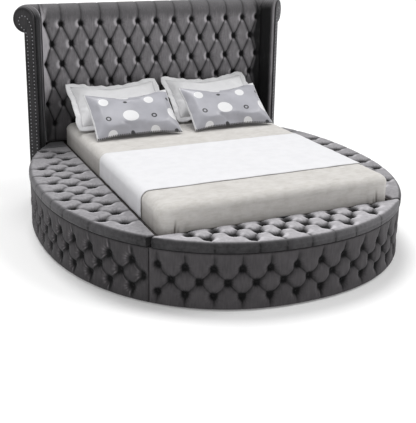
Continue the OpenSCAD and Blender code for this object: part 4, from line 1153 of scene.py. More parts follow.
@dataclass
class TuftedLid:
    """Tufted cushion of a bench's lid, with its cloth turned down over the board's edge.

    Places are given along the bench (s) and outwards from the mattress (t).
    """

    name: str
    start: float
    end: float
    inner: float
    top: float = 402.0
    board_top: float = 357.2
    cloth_low: float = 341.4
    inner_round: float = 9.0
    outer_round: float = 34.0
    end_round: float = 17.0
    step: float = 4.4
    first_t: float = 875.0
    row: float = 108.0
    first_s: float = 24.0
    half_pitch: float = 82.5
    end_margin: float = 28.0
    edge_margin: float = 55.0
    wall_inset: float = 2.5
    fold_depth: float = 3.6
    fold_width: float = 5.0
    # How much painted shade lies over the shoulder and side, from 0 to 1
    shoulder_painted_shade: float = 0.80
    tufting: Tufting = LID_TUFTS

    def rim(self, s: Array) -> Array:
        """Distance of the ring's outline at a place along the bench."""
        raise NotImplementedError

    def outer(self, s: Array) -> Array:
        """Distance of the lid's outer edge at a place along the bench."""
        return self.rim(s)

    def to_bed(self, s: Array, t: Array, z: Array) -> Array:
        """Points in the bed's frame."""
        raise NotImplementedError

    def spots(self) -> Spots:
        """Place of each button by its half pitch and its row.

        Returns:
            Place of each button.
        """
        out = {}
        for q in range(3):
            t = self.first_t + q * self.row
            for k in range(-14, 15):
                s = self.first_s + k * self.half_pitch
                if (k + q) % 2 == 0 and self.start + self.end_margin < s < self.end - self.end_margin \
                        and t < self.rim(np.array(s)) - self.edge_margin:
                    out[(k, q)] = (s, t)
        return out

    def painted_side_shade(self, s: Array) -> Array:
        """How much darker the cloth is painted over the shoulder than on top, from 0 to 1."""
        return np.full_like(s, self.shoulder_painted_shade)

    def rise(self, s: Array, t: Array) -> tuple[Array, Array]:
        """Shape the cushion's cloth.

        Args:
            s: Places along the bench.
            t: Places outwards from the mattress.

        Returns:
            Drop of the cloth below the lid's top, and its painted shade.
        """
        width = self.outer(s) - self.inner
        e = self.outer(s) - t
        ends = np.minimum(s - self.start, self.end - s)
        spots = self.spots()
        holes = np.array(list(spots.values()))
        pleats = pleat_lines(spots, lambda x: self.inner - 20,
                             lambda x: float(self.outer(np.array(x))) + 20)
        deep, shade = self.tufting.relief(s, t, holes, pleats)
        fade = 0.30 + 0.70 * unit((e - 8) / 34)
        fade = fade * (0.2 + 0.8 * unit(ends / 50)) * unit((width - 40) / 60)
        fade = fade * (0.6 + 0.4 * unit((t - self.inner) / 25))
        r_out = np.minimum(self.outer_round, 0.45 * width)
        r_in = np.minimum(self.inner_round, 0.2 * width)

        def drop(edge: Array, r: Array) -> Array:
            """Drop of a rounded edge, for the distance from it and its radius."""
            inside = np.maximum(r - np.maximum(edge, 0), 0)
            return r - np.sqrt(np.maximum(r * r - inside ** 2, 0))

        d1 = drop(self.outer(s) - t, r_out) + drop(t - self.inner, r_in)
        d2 = drop(ends, np.full_like(s, self.end_round))
        sway = 1.6 * wander(s, t, 90, 5)
        low = np.maximum(deep + sway + 1.6, 0) * fade
        # Painted shade: the shoulder, the side and the ends are painted darker than the top, which the light
        # from above reaches
        side = unit((d1 - 0.01 * r_out) / (0.20 * r_out)) * (t - self.inner > 0.5 * width)
        side = np.maximum(side, unit(d2 / (0.5 * self.end_round)))
        base = self.tufting.base
        shade = base - (base - shade) * np.maximum(fade, 0.75)
        return (d1 ** 3 + d2 ** 3) ** (1 / 3) + low, shade * (1 - self.painted_side_shade(s) * side)

    def make(self) -> Piece:
        """Build the padded lid.

        Returns:
            The piece.
        """
        n = int((self.end - self.start - 2 * self.end_round) / self.step)
        arc = np.array([0.0, 0.15, 0.35, 0.6, 0.8]) ** 1.6 * self.end_round
        s = np.concatenate([self.start + arc, np.linspace(self.start + self.end_round,
                                                         self.end - self.end_round, n),
                            self.end - arc[::-1]])
        width = self.outer(s) - self.inner
        r_in = np.minimum(self.inner_round, 0.2 * width)
        r_out = np.minimum(self.outer_round, 0.45 * width)
        a_in, a_out = np.linspace(0, np.pi / 2, 5), np.linspace(np.pi / 2, 0, 9)
        e_in = r_in[:, None] * (1 - np.cos(a_in))[None, :]
        e_out = width[:, None] - r_out[:, None] * (1 - np.cos(a_out))[None, :]
        m = int((width.max() - self.inner_round - self.outer_round) / self.step)
        f = np.linspace(0, 1, m + 2)[1:-1]
        e_mid = e_in[:, -1:] + (e_out[:, :1] - e_in[:, -1:]) * f[None, :]
        e = np.concatenate([e_in, e_mid, e_out], 1)
        grid_s = np.repeat(s[:, None], e.shape[1], 1)
        t = self.inner + e
        low, painted_light = self.rise(grid_s, t)
        z = self.top - low
        # The outer side runs down over the board's edge, with short pleats below the shoulder
        side_f = np.linspace(0, 1, 7)[1:]
        wall_z = z[:, -1:] + (self.cloth_low - z[:, -1:]) * side_f[None, :]
        bulge = self.wall_inset * np.sin(np.pi * side_f)[None, :] * (0.4 + painted_light[:, -1:])
        wall_t = t[:, -1:] - self.wall_inset + np.minimum(bulge, self.wall_inset)
        fold = np.full_like(s, 1e3)
        for x0, _, x1, y1 in pleat_lines(self.spots(), lambda x: -1e9, lambda x: 1e9):
            if x0 == x1 and y1 > 1e8:
                fold = np.minimum(fold, abs(s - x0))
        fold = np.exp(-fold / self.fold_width)[:, None]
        wall_t = np.maximum(wall_t - fold * self.fold_depth * (1 - side_f)[None, :],
                            self.outer(s)[:, None] - self.wall_inset + 0.1)
        t[:, -1] = wall_t[:, 0]
        # Painted shade of the side: dark, lighter where the shoulder is painted less dark, and darker again
        # in each pleat's fold
        lighter = (self.shoulder_painted_shade - self.painted_side_shade(s))[:, None]
        wall_c = (0.17 + 0.6 * lighter - 0.05 * side_f[None, :]) * (1 - fold)
        near = np.minimum(s - self.start, self.end - s) < 2.8
        under = np.where(near, self.cloth_low, self.board_top)[:, None]
        lip_t = self.outer(s)[:, None] - self.wall_inset - 0.1
        t_all = np.concatenate([np.full((len(s), 1), self.inner), t, wall_t, lip_t, lip_t], 1)
        z_all = np.concatenate([under, z, wall_z, np.full((len(s), 1), self.cloth_low), under - 0.02], 1)
        c_all = np.concatenate([painted_light[:, :1], painted_light, wall_c, np.full((len(s), 2), 0.4)], 1)
        z_all[:, 0] = under[:, 0]
        # The sections at both ends are painted near black, as the shade in the gaps at the lid's ends
        c_all[[0, 1, -2, -1]] = 0.03
        s_all = np.repeat(s[:, None], t_all.shape[1], 1)
        points = self.to_bed(s_all, t_all, z_all).reshape(-1, 3)
        piece = build(self.name + "_cushion_padding", points, swept_faces(len(s), t_all.shape[1]),
                      painted_light=c_all.ravel())
        return outward(piece)

    def make_buttons(self, button: CoveredButton) -> Piece:
        """Set the buttons into the lid.

        Args:
            button: The button to copy.

        Returns:
            The buttons as one object.
        """
        spots = np.array(list(self.spots().values()))
        low, _ = self.rise(spots[:, 0], spots[:, 1])
        places = self.to_bed(spots[:, 0], spots[:, 1], self.top - low - button.seat)
        return button.group(self.name + "_tufts", places, np.tile([0.0, 0.0, 1.0], (len(spots), 1)))

    def dress(self, cloth: Material, button: CoveredButton) -> list[Piece]:
        """Build and finish the lid's cushion and buttons, which ride on the lid."""
        return [dress_piece(self.make(), self.name + "_cushion", cloth, self.name),
                dress_piece(self.make_buttons(button), self.name + "_buttons", cloth,
                            body=self.name)]


@dataclass
class SideLid(TuftedLid):
    """Lid of a side bench."""

    start: float = -1055.55
    end: float = 829.0
    inner: float = 787.55
    side: Side = Side.RIGHT
    corner: float = 40.0

    def rim(self, s: Array) -> Array:
        """Distance of the ring's outline."""
        return RING.x_at(s)

    def outer(self, s: Array) -> Array:
        """Distance of the outer edge, rounded at its corner by the headboard."""
        e = np.clip(self.corner - (self.end - s), 0, self.corner)
        return self.rim(s) - (self.corner - np.sqrt(self.corner ** 2 - e ** 2))

    def to_bed(self, s: Array, t: Array, z: Array) -> Array:
        """Points in the bed's frame."""
        return np.stack([t * self.side.value, s, z + 0 * t], -1)

    def painted_side_shade(self, s: Array) -> Array:
        """How much darker the shoulder is painted: less painted shade towards the headboard, where it faces
        sideways.
        """
        return self.shoulder_painted_shade - 0.40 * unit((s - self.start) / 900)


@dataclass
class FootLid(TuftedLid):
    """Lid of the foot bench."""

    start: float = -812.7
    end: float = 812.7
    inner: float = 1067.55
    first_t: float = 1101.55
    row: float = 87.0
    first_s: float = 0.0
    half_pitch: float = 76.2
    end_margin: float = 0.0
    edge_margin: float = 42.0
    tufting: Tufting = FOOT_LID_TUFTS

    def rim(self, s: Array) -> Array:
        """Distance of the ring's outline."""
        return RING.y_at(s)

    def painted_side_shade(self, s: Array) -> Array:
        """How much darker the shoulder is painted: less painted shade on the right, which the light reaches.
        """
        return self.shoulder_painted_shade - 0.42 * unit((s + 200) / 900)

    def to_bed(self, s: Array, t: Array, z: Array) -> Array:
        """Points in the bed's frame."""
        return np.stack([s + 0 * t, -t, z + 0 * t], -1)


@dataclass
class TuftedHeadboard:
    """Tufted face of the headboard and the smooth roll along its top."""

    half_w: float = 913.0
    low: float = 400.0
    roll_z: float = 1350.0
    roll_r: float = 97.0
    roll_y: float = 1089.0
    panel_y: float = 1029.9
    row_z: float = 1000.2
    row: float = 152.4
    half_pitch: float = 76.2
    last_x: float = 893.0
    cells: int = 16
    turn_step: float = 6.0
    low_round: float = 14.0
    margin_forward: float = 24.0
    back_half_w: float = 911.9
    back_low: float = 8.0
    back_high: float = 1252.0
    back_y: float = 1089.0
    back_inner_y: float = 1086.2
    tufting: Tufting = HEADBOARD_TUFTS

    def buttons(self) -> Array:
        """Place across and height of each button."""
        return np.array([spot for (k, _), spot in self.spots().items() if abs(k) < 12])

    def spots(self) -> Spots:
        """Place of each hole by its half pitch and its row, with those drawn in beside the wings."""
        return {(k, q): (math.copysign(min(abs(k) * self.half_pitch, self.last_x), k),
                         self.row_z + q * self.row)
                for q in range(-3, 3) for k in range(-12, 13) if (k + q) % 2 == 0}

    def beyond(self, x: Array, z: Array) -> Array:
        """How far places lie past the zigzag of outermost pleats.

        Args:
            x: Places across.
            z: Heights.

        Returns:
            0 on the zigzag and 1 by the wing.
        """
        rows = np.arange(-5, 4)
        zig = np.interp(z, self.row_z + rows * self.row,
                        np.where(rows % 2 == 0, self.last_x, 11 * self.half_pitch))
        return unit((abs(x) - zig) / (self.half_w - zig))

    def depth(self, x: Array, z: Array, over: Array) -> tuple[Array, Array]:
        """Shape the cloth of the face and the roll.

        Args:
            x: Places across.
            z: Heights, up to the middle of the roll.
            over: Angle over the roll in degrees, 0 on the face.

        Returns:
            Depth of the cloth behind the face in millimetres, and its painted shade.
        """
        spots = self.spots()
        holes = np.array(list(spots.values()))
        up = z + over * 1.7
        pleats = pleat_lines(spots, lambda x: self.low - 20, lambda x: self.roll_z + 330)
        deep, shade = self.tufting.relief(x, up, holes, pleats)
        past = np.maximum(up - self.row_z - 2 * self.row, 0)
        fade = np.where(past > 0, 0.30 + 0.70 * np.exp(-past / 60), 1.0) * unit((190 - over) / 60)
        sway = 1.6 * wander(x, up * 0.6, 90, 3)
        rim = self.beyond(x, up)
        out = np.maximum((deep + sway + 1.6) * fade * (1 - 0.6 * rim), 0)
        # Beside the wings the cloth comes forward to meet them
        out = out - self.margin_forward * rim ** 1.5 * unit((90 - over) / 90)
        base = self.tufting.base
        shade = base - (base - shade) * np.maximum(fade, 0.75)
        # Painted shade: darker over the roll and towards the bottom, where the pillows stand in front
        shade = shade * (1 - 0.22 * unit(past / 60)) * (1 - 0.40 * unit((900 - up) / 300))
        # There it faces the other wing: painted light on the left margin, as if it caught the light, and
        # painted shade on the right one
        turned = unit(rim / 0.4) * unit((60 - over) / 60)
        margin = np.where(x < 0, 1.0 - 0.8 * unit((840 - up) / 240), 0.04)
        return out, shade + (margin - shade) * turned

    def make(self) -> Piece:
        """Build the padded face and roll.

        Returns:
            The piece.
        """
        step = self.half_pitch / self.cells
        n = math.floor((self.half_w - 2) / step)
        x = np.concatenate([[-self.half_w], np.arange(-n, n + 1) * step, [self.half_w]])
        dz = self.row / self.cells
        z_low = self.row_z + np.arange(math.ceil((self.low + 3 - self.row_z) / dz),
                                       math.floor((self.roll_z - 2 - self.row_z) / dz) + 1) * dz
        z_line = np.concatenate([[self.low], z_low, [self.roll_z]])
        turn = np.arange(self.turn_step, 271, self.turn_step)
        zz = np.concatenate([z_line, np.full(len(turn), self.roll_z)])
        over = np.concatenate([np.zeros(len(z_line)), turn])
        gx, gz = np.meshgrid(x, zz, indexing="ij")
        go = np.broadcast_to(over[None, :], gx.shape)
        deep, painted_light = self.depth(gx, gz, go)
        from_round = np.clip(self.low_round - (gz - self.low), 0, self.low_round)
        deep = deep + (self.low_round - np.sqrt(self.low_round ** 2 - from_round ** 2)) * (go < 1)
        r = self.roll_r - deep
        a = np.radians(go)
        front = np.stack([gx, self.roll_y - r * np.cos(a), gz + r * np.sin(a)], -1)
        back = np.stack([np.stack([x, np.full_like(x, self.panel_y), np.full_like(x, h)], -1)
                         for h in (self.roll_z - self.roll_r, self.low)], 1)
        points = np.concatenate([front, back], 1)
        painted_light = np.concatenate([painted_light, np.full((len(x), 2), 0.4)], 1)
        split = crease_split(x, z_line, self.half_pitch, self.row, self.row_z)
        faces = swept_faces(len(x), points.shape[1], split)
        return build("headboard_padding", points.reshape(-1, 3), faces, painted_light=painted_light.ravel())

    def make_buttons(self, button: CoveredButton) -> Piece:
        """Set the buttons into the face.

        Args:
            button: The button to copy.

        Returns:
            The buttons as one object.
        """
        spots = self.buttons()
        deep, _ = self.depth(spots[:, 0], spots[:, 1], np.zeros(len(spots)))
        y = self.roll_y - self.roll_r + deep + button.seat
        places = np.stack([spots[:, 0], y, spots[:, 1]], -1)
        return button.group("headboard_tufts", places, np.tile([0.0, -1.0, 0.0], (len(spots), 1)))

    def make_back(self) -> Piece:
        """Build the cloth over the headboard's back, drawn tight over its posts.

        Returns:
            The piece.
        """
        x = np.linspace(-self.back_half_w, self.back_half_w, 90)
        z = np.linspace(self.back_low, self.back_high, 60)
        gx, gz = np.meshgrid(x, z, indexing="ij")
        edge = np.minimum(np.minimum(self.back_half_w - abs(gx), gz - self.back_low), self.back_high - gz)
        y = self.back_y - 1.2 * unit(1 - edge / 6) - 0.5 - 0.5 * wander(gx, gz, 300, 8)
        outer = np.stack([gx, y, gz], -1)[:, ::-1]
        inner = np.stack([np.stack([x, np.full_like(x, self.back_inner_y), np.full_like(x, h)], -1)
                          for h in (self.back_low, self.back_high)], 1)
        points = np.concatenate([outer, inner], 1)
        piece = build("headboard_back_cloth", points.reshape(-1, 3),
                      swept_faces(len(x), points.shape[1]), painted_light=np.full(points.shape[:2], 0.5).ravel())
        return outward(piece)

    def dress(self, cloth: Material, plain: Material,
              button: CoveredButton) -> list[Piece]:
        """Build and finish the face and its buttons in the cloth, and the back in the plain one."""
        return [dress_piece(self.make(), "headboard_pad", cloth),
                dress_piece(self.make_buttons(button), "headboard_buttons", cloth),
                dress_piece(self.make_back(), "headboard_back_cover", plain)]


@dataclass
class Wing:
    """One flared wing: padded inner face with its roll, outer cloth, front strip and nails."""

    side: Side
    middle_x: float = 1139.8
    middle_y: float = 1031.73
    outer_r: float = 128.0
    inner_r: float = 228.0
    pad: float = 46.0
    first_deg: float = 8.0
    last_deg: float = 47.0
    low: float = 8.0
    roll_z: float = 1350.0
    roll_r: float = 97.0
    head_x: float = 913.4
    head_y: float = 1089.0
    frame_top: float = 1252.7
    facing_inset: float = 7.0
    nail_pitch: float = 27.0
    nail_r: float = 4.8
    nail_height: float = 0.62
    nail_out: float = 9.3
    cover: float = 7.6
    cover_x: float = 912.3
    turn_step: float = 6.0
    bend: float = 30.0

    @property
    def roll_mid(self) -> float:
        """Radius of the roll's centreline round the wing's middle."""
        return self.inner_r - self.roll_r

    def at(self, r: Array, deg: Array) -> Array:
        """Plan point at a radius and angle round the wing's middle."""
        a = np.radians(deg)
        return np.stack([self.middle_x - r * np.cos(a), self.middle_y - r * np.sin(a)], -1)

    def corner(self) -> Array:
        """Where the wing's roll meets the roll of the back."""
        x, y = self.at(np.array(self.roll_mid), np.array(self.first_deg))
        return np.array([x - (self.head_y - y) * math.tan(math.radians(self.first_deg)), self.head_y])

    def make_face(self) -> Piece:
        """Build the padded inner face and the roll over its top, as one swept form.

        Returns:
            The piece.
        """
        deg = np.concatenate([[self.first_deg], np.linspace(self.first_deg + 0.6, self.last_deg - 0.3, 40),
                              [self.last_deg - 0.02]])
        z = np.concatenate([self.low + np.array([0, 3, 8]), np.linspace(self.low + 16, self.roll_z, 130)])
        turn = np.arange(self.turn_step, 271, self.turn_step)
        rows, painted_lights = [], []
        for d in deg:
            near = min(d - self.first_deg, self.last_deg - d) * math.pi / 180 * self.inner_r
            front = (self.last_deg - d) * math.pi / 180 * self.inner_r
            pinch = 9.0 * max(0.0, 1 - front / 12) ** 2
            # A soft welt runs down the front edge, and a shallow dip behind it
            welt = -3.0 * math.exp(-((front - 58) / 16) ** 2)
            sway = 1.6 * np.array([wander(np.array([d * 4.0]), np.array([h * 0.22]), 60, 21)[0] for h in z])
            face_r = self.inner_r - pinch + welt - 1.6 + sway - 8 * unit(1 - (z - self.low) / 8) ** 2
            face = np.stack([face_r, z], -1)
            rr = self.roll_r - pinch * 0.8 - 1.0
            a = np.radians(turn)
            dip = 1.3 * math.sin(d * 0.9) * np.sin(a)
            r = rr + dip
            roll = np.stack([self.roll_mid + r * np.cos(a), self.roll_z + r * np.sin(a)], -1)
            tail = np.array([[self.inner_r - self.pad, self.roll_z - self.roll_r + 1],
                             [self.inner_r - self.pad, self.low]])
            section = np.concatenate([face, roll, tail])
            xy = self.at(section[:, 0], np.full(len(section), d))
            rows.append(np.concatenate([xy, section[:, 1:]], 1))
            # Painted light and shade of the face, lightened over the roll's top and darkened a little near
            # its ends
            lit = self.light(front) - 0.02 * max(0.0, 1 - near / 25)
            over = lit + (0.55 - lit) * unit(np.sin(a)) ** 2
            painted_lights.append(np.concatenate([np.full(len(face), lit), over, np.full(len(tail), lit)]))
        points = np.array(rows)
        face = mirrored(points.reshape(-1, 3), swept_faces(len(rows), points.shape[1]), self.side)
        roll = mirrored(*self.corner_roll(), self.side)
        painted_light = np.concatenate([np.concatenate(painted_lights), np.full(len(roll[0]), 0.50)])
        return outward(build(f"{self.side.word}_wing_padding", *joined([face, roll]), painted_light=painted_light))

    def light(self, front: float) -> float:
        """Painted shade of the inner face by distance from its front edge: the left face painted bright
        behind its front part, as if it caught the light, the right one dark but near its front edge.
        """
        if self.side is Side.LEFT:
            return 0.06 + 0.94 / (1 + math.exp(-(front - 108) / 9))
        return 0.02 + 0.80 * math.exp(-((front - 8) / 17) ** 2)

    def corner_roll(self) -> Shape:
        """The roll carried to the back corner, turned there and led to the headboard's own roll.

        Returns:
            Points and faces, on the right side.
        """
        start = self.at(np.array(self.roll_mid), np.array(self.first_deg))
        corner = self.corner()
        way_in = (corner - start) / np.linalg.norm(corner - start)
        path = [start + way_in * 0.6, corner - way_in * (self.bend + 4)]
        for f in np.linspace(0, 1, 9):
            a, b = corner - way_in * self.bend, corner + np.array([-self.bend, 0.0])
            path.append((1 - f) ** 2 * a + 2 * f * (1 - f) * corner + f * f * b)
        path += [np.array([corner[0] - self.bend - 8, corner[1]]), np.array([self.head_x + 0.8, self.head_y])]
        line = np.array([[p[0], p[1], self.roll_z] for p in path])
        return tube(line, self.roll_r - 1.2, 60)

    def shell(self) -> tuple[Array, int]:
        """Plan outline of the wing's outer cloth.

        Returns:
            Points of the outline, and how many of them lie on the outside.
        """
        deg = np.linspace(self.last_deg, self.first_deg, 28)
        cx, cy = self.at(np.array(self.outer_r), np.array(self.first_deg))
        corner = np.array([cx - (self.head_y - cy) * math.tan(math.radians(self.first_deg)), self.head_y])
        out = [self.at(np.array(self.outer_r), np.array(d)) for d in deg]
        out += [corner, np.array([self.cover_x, self.head_y])]
        out += [np.array([self.cover_x, self.head_y - self.cover]), corner - [self.cover, self.cover]]
        out += [self.at(np.array(self.outer_r + self.cover), np.array(d)) for d in deg[::-1]]
        return np.array(out), len(deg) + 1

    def make_cover(self) -> Piece:
        """Build the cloth over the outside of the wing, with a little slack in it.

        Returns:
            The piece.
        """
        plan, n_out = self.shell()
        z = np.concatenate([[self.low, self.low + 2], np.linspace(self.low + 24, self.frame_top - 24, 50),
                            [self.frame_top - 2, self.frame_top - 0.3]])
        rows = []
        for h in z:
            ring = plan.copy()
            edge = min(h - self.low, self.frame_top - h)
            slack = 0.5 * wander(np.arange(n_out) * 6.0, np.full(n_out, h * 0.4), 70, 4)
            ring[1:n_out - 1, 1] += np.minimum(slack[1:n_out - 1], 0) * min(edge / 30, 1)
            rows.append(np.concatenate([ring, np.full((len(ring), 1), h)], 1))
        points = np.array(rows)
        pts, faces = mirrored(points.reshape(-1, 3), swept_faces(len(rows), points.shape[1]), self.side)
        return outward(build(f"{self.side.word}_wing_outer_cloth", pts, faces,
                             painted_light=np.full(len(pts), 0.5), sharp=50))

    def on_front(self, r: Array, z: Array, out: Array) -> Array:
        """Points on the wing's front end.

        Args:
            r: Radius round the wing's middle.
            z: Height.
            out: Distance in front of the end.

        Returns:
            The points, on the right side.
        """
        a = math.radians(self.last_deg)
        xy = self.at(r, np.full_like(r, self.last_deg))
        ahead = np.array([math.sin(a), -math.cos(a)])
        return np.concatenate([xy + ahead * np.asarray(out)[..., None], z[..., None]], -1)

    def strip_outline(self, inset: float, steps: int = 72) -> Array:
        """Outline of the front strip with its scroll head.

        Args:
            inset: How far the outline is drawn in.
            steps: Points round the scroll.

        Returns:
            Radius and height of each point.
        """
        r = self.roll_r - inset
        left, right = self.outer_r + inset, self.inner_r - inset
        # The straight outer edge runs up to where it meets the scroll's circle
        a0 = math.degrees(math.acos(min(1.0, (left - self.roll_mid) / r)))
        deg = np.linspace(0, 360 - a0, steps)
        loop = np.stack([self.roll_mid + r * np.cos(np.radians(deg)),
                         self.roll_z + r * np.sin(np.radians(deg))], -1)
        z_low = np.linspace(self.low + inset * 0.3, self.roll_z - 6, 60)
        z_high = np.linspace(loop[-1][1] - 6, self.low + inset * 0.3, 56)
        return np.concatenate([np.stack([np.full_like(z_low, right), z_low], -1), loop,
                               np.stack([np.full_like(z_high, left), z_high], -1)])

    def make_strip(self) -> Piece:
        """Build the padded front strip: a rim, a shallow groove and a raised middle.

        Returns:
            The piece.
        """
        levels = [(0.0, 0.05), (0.0, 6.0), (1.2, 8.6), (3.4, 9.8), (9.0, 10.2), (12.5, 9.2), (14.0, 9.2),
                  (22.0, 9.6), (30.0, 10.2)]
        rings = []
        for inset, out in levels:
            plan = self.strip_outline(self.facing_inset + inset)
            rings.append(self.on_front(plan[:, 0], plan[:, 1], np.full(len(plan), out)))
        points = np.array(rings)
        faces = swept_faces(len(rings), points.shape[1])
        # Painted shade of each level: dark overall and darkest in the groove
        painted_light = np.repeat([0.10, 0.12, 0.20, 0.22, 0.14, 0.05, 0.12, 0.15, 0.16], points.shape[1])
        pts, faces = mirrored(points.reshape(-1, 3), faces, self.side)
        return outward(build(f"{self.side.word}_wing_front_padding", pts, faces, painted_light=painted_light))

    def nail_places(self) -> Array:
        """Places of the nails as radius and height: two rows joined by a curl in the scroll.

        Returns:
            Radius and height of each nail.
        """
        curl = np.array([(74, -101), (71, -64), (64, -33), (50, -4), (29, 22), (4, 32), (-24, 24), (-40, -2),
                         (-36, -32), (-18, -54), (8, -73), (25, -98), (29, -126)], float)
        bottom = 40.0 - self.roll_z
        path = np.concatenate([[(74, bottom)], curl, [(29, bottom)]])
        run = np.concatenate([[0], np.cumsum(np.linalg.norm(np.diff(path, axis=0), axis=1))])
        count = round(run[-1] / self.nail_pitch)
        at = np.linspace(0, run[-1], count + 1)
        return np.stack([np.interp(at, run, path[:, 0]) + self.roll_mid,
                         np.interp(at, run, path[:, 1]) + self.roll_z], -1)

    def make_nails(self) -> Piece:
        """Set a domed nail head at every place along the strip.

        Returns:
            The nails as one object.
        """
        a = math.radians(self.last_deg)
        r, z = self.nail_places().T
        places = self.on_front(r, z, np.full(len(r), self.nail_out))
        ways = np.tile([math.sin(a), -math.cos(a), 0.0], (len(r), 1))
        heads = heads_at(dome(self.nail_r, self.nail_height, 12), places, ways)
        pts, faces = mirrored(*heads, self.side)
        return build(f"{self.side.word}_wing_nail_heads", pts, faces, sharp=50)

    def dress(self, cloth: Material, plain: Material,
              chrome: Material) -> list[Piece]:
        """Build and finish the wing's pieces.

        Args:
            cloth: Velvet of its face and front strip.
            plain: Velvet of its outside.
            chrome: Finish of its nails.

        Returns:
            The face, the outer cloth, the strip and the nails.
        """
        node = f"{self.side.word}_wing_"
        return [dress_piece(self.make_face(), node + "pad", cloth),
                dress_piece(self.make_cover(), node + "cover", plain),
                dress_piece(self.make_strip(), node + "facing", cloth),
                dress_piece(self.make_nails(), node + "nails", chrome)]


@dataclass
class RearDeck:
    """Smooth padded deck between a side lid and the headboard."""

    side: Side
    voxel: float = 0.006
    smoothing: int = 9

    def make(self) -> Piece:
        """Build the deck by rounding a copy of its solid and moving its skin in a little.

        Returns:
            The piece.
        """
        word = self.side.word
        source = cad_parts[f"{word}_rear_deck"]
        piece = bpy.data.objects.new(f"{word}_rear_deck_padding", source.data.copy())
        bpy.context.scene.collection.objects.link(piece)
        piece.data.materials.clear()
        work = bmesh.new()
        work.from_mesh(piece.data)
        bmesh.ops.remove_doubles(work, verts=work.verts, dist=1e-5)
        work.to_mesh(piece.data)
        work.free()
        remesh = piece.modifiers.new("skin", "REMESH")
        remesh.mode = "VOXEL"
        remesh.voxel_size = self.voxel
        soften = piece.modifiers.new("soften", "SMOOTH")
        soften.factor = 0.8
        soften.iterations = self.smoothing
        apply_modifiers(piece)
        mesh = piece.data
        co = np.zeros(len(mesh.vertices) * 3, np.float32)
        mesh.vertices.foreach_get("co", co)
        co = co.reshape(-1, 3)
        mid = (co.max(0) + co.min(0)) / 2
        high = co[:, 2] > mid[2]
        sway = 2.0 * wander(co[:, 0] * 1000, co[:, 1] * 1000, 120, 2 + self.side.value)
        co[high, 2] += (np.minimum(sway[high], 0) * MM).astype(np.float32)
        mesh.vertices.foreach_set("co", co.ravel())
        layer = mesh.attributes.new("painted_light", "FLOAT", "POINT")
        layer.data.foreach_set("value", np.full(len(mesh.vertices), 0.55, np.float32))
        mesh.shade_smooth()
        return piece

    def dress(self, plain: Material) -> list[Piece]:
        """Build and finish the deck."""
        node = f"{self.side.word}_rear_deck"
        return [dress_piece(self.make(), node, plain)]


# Bedding


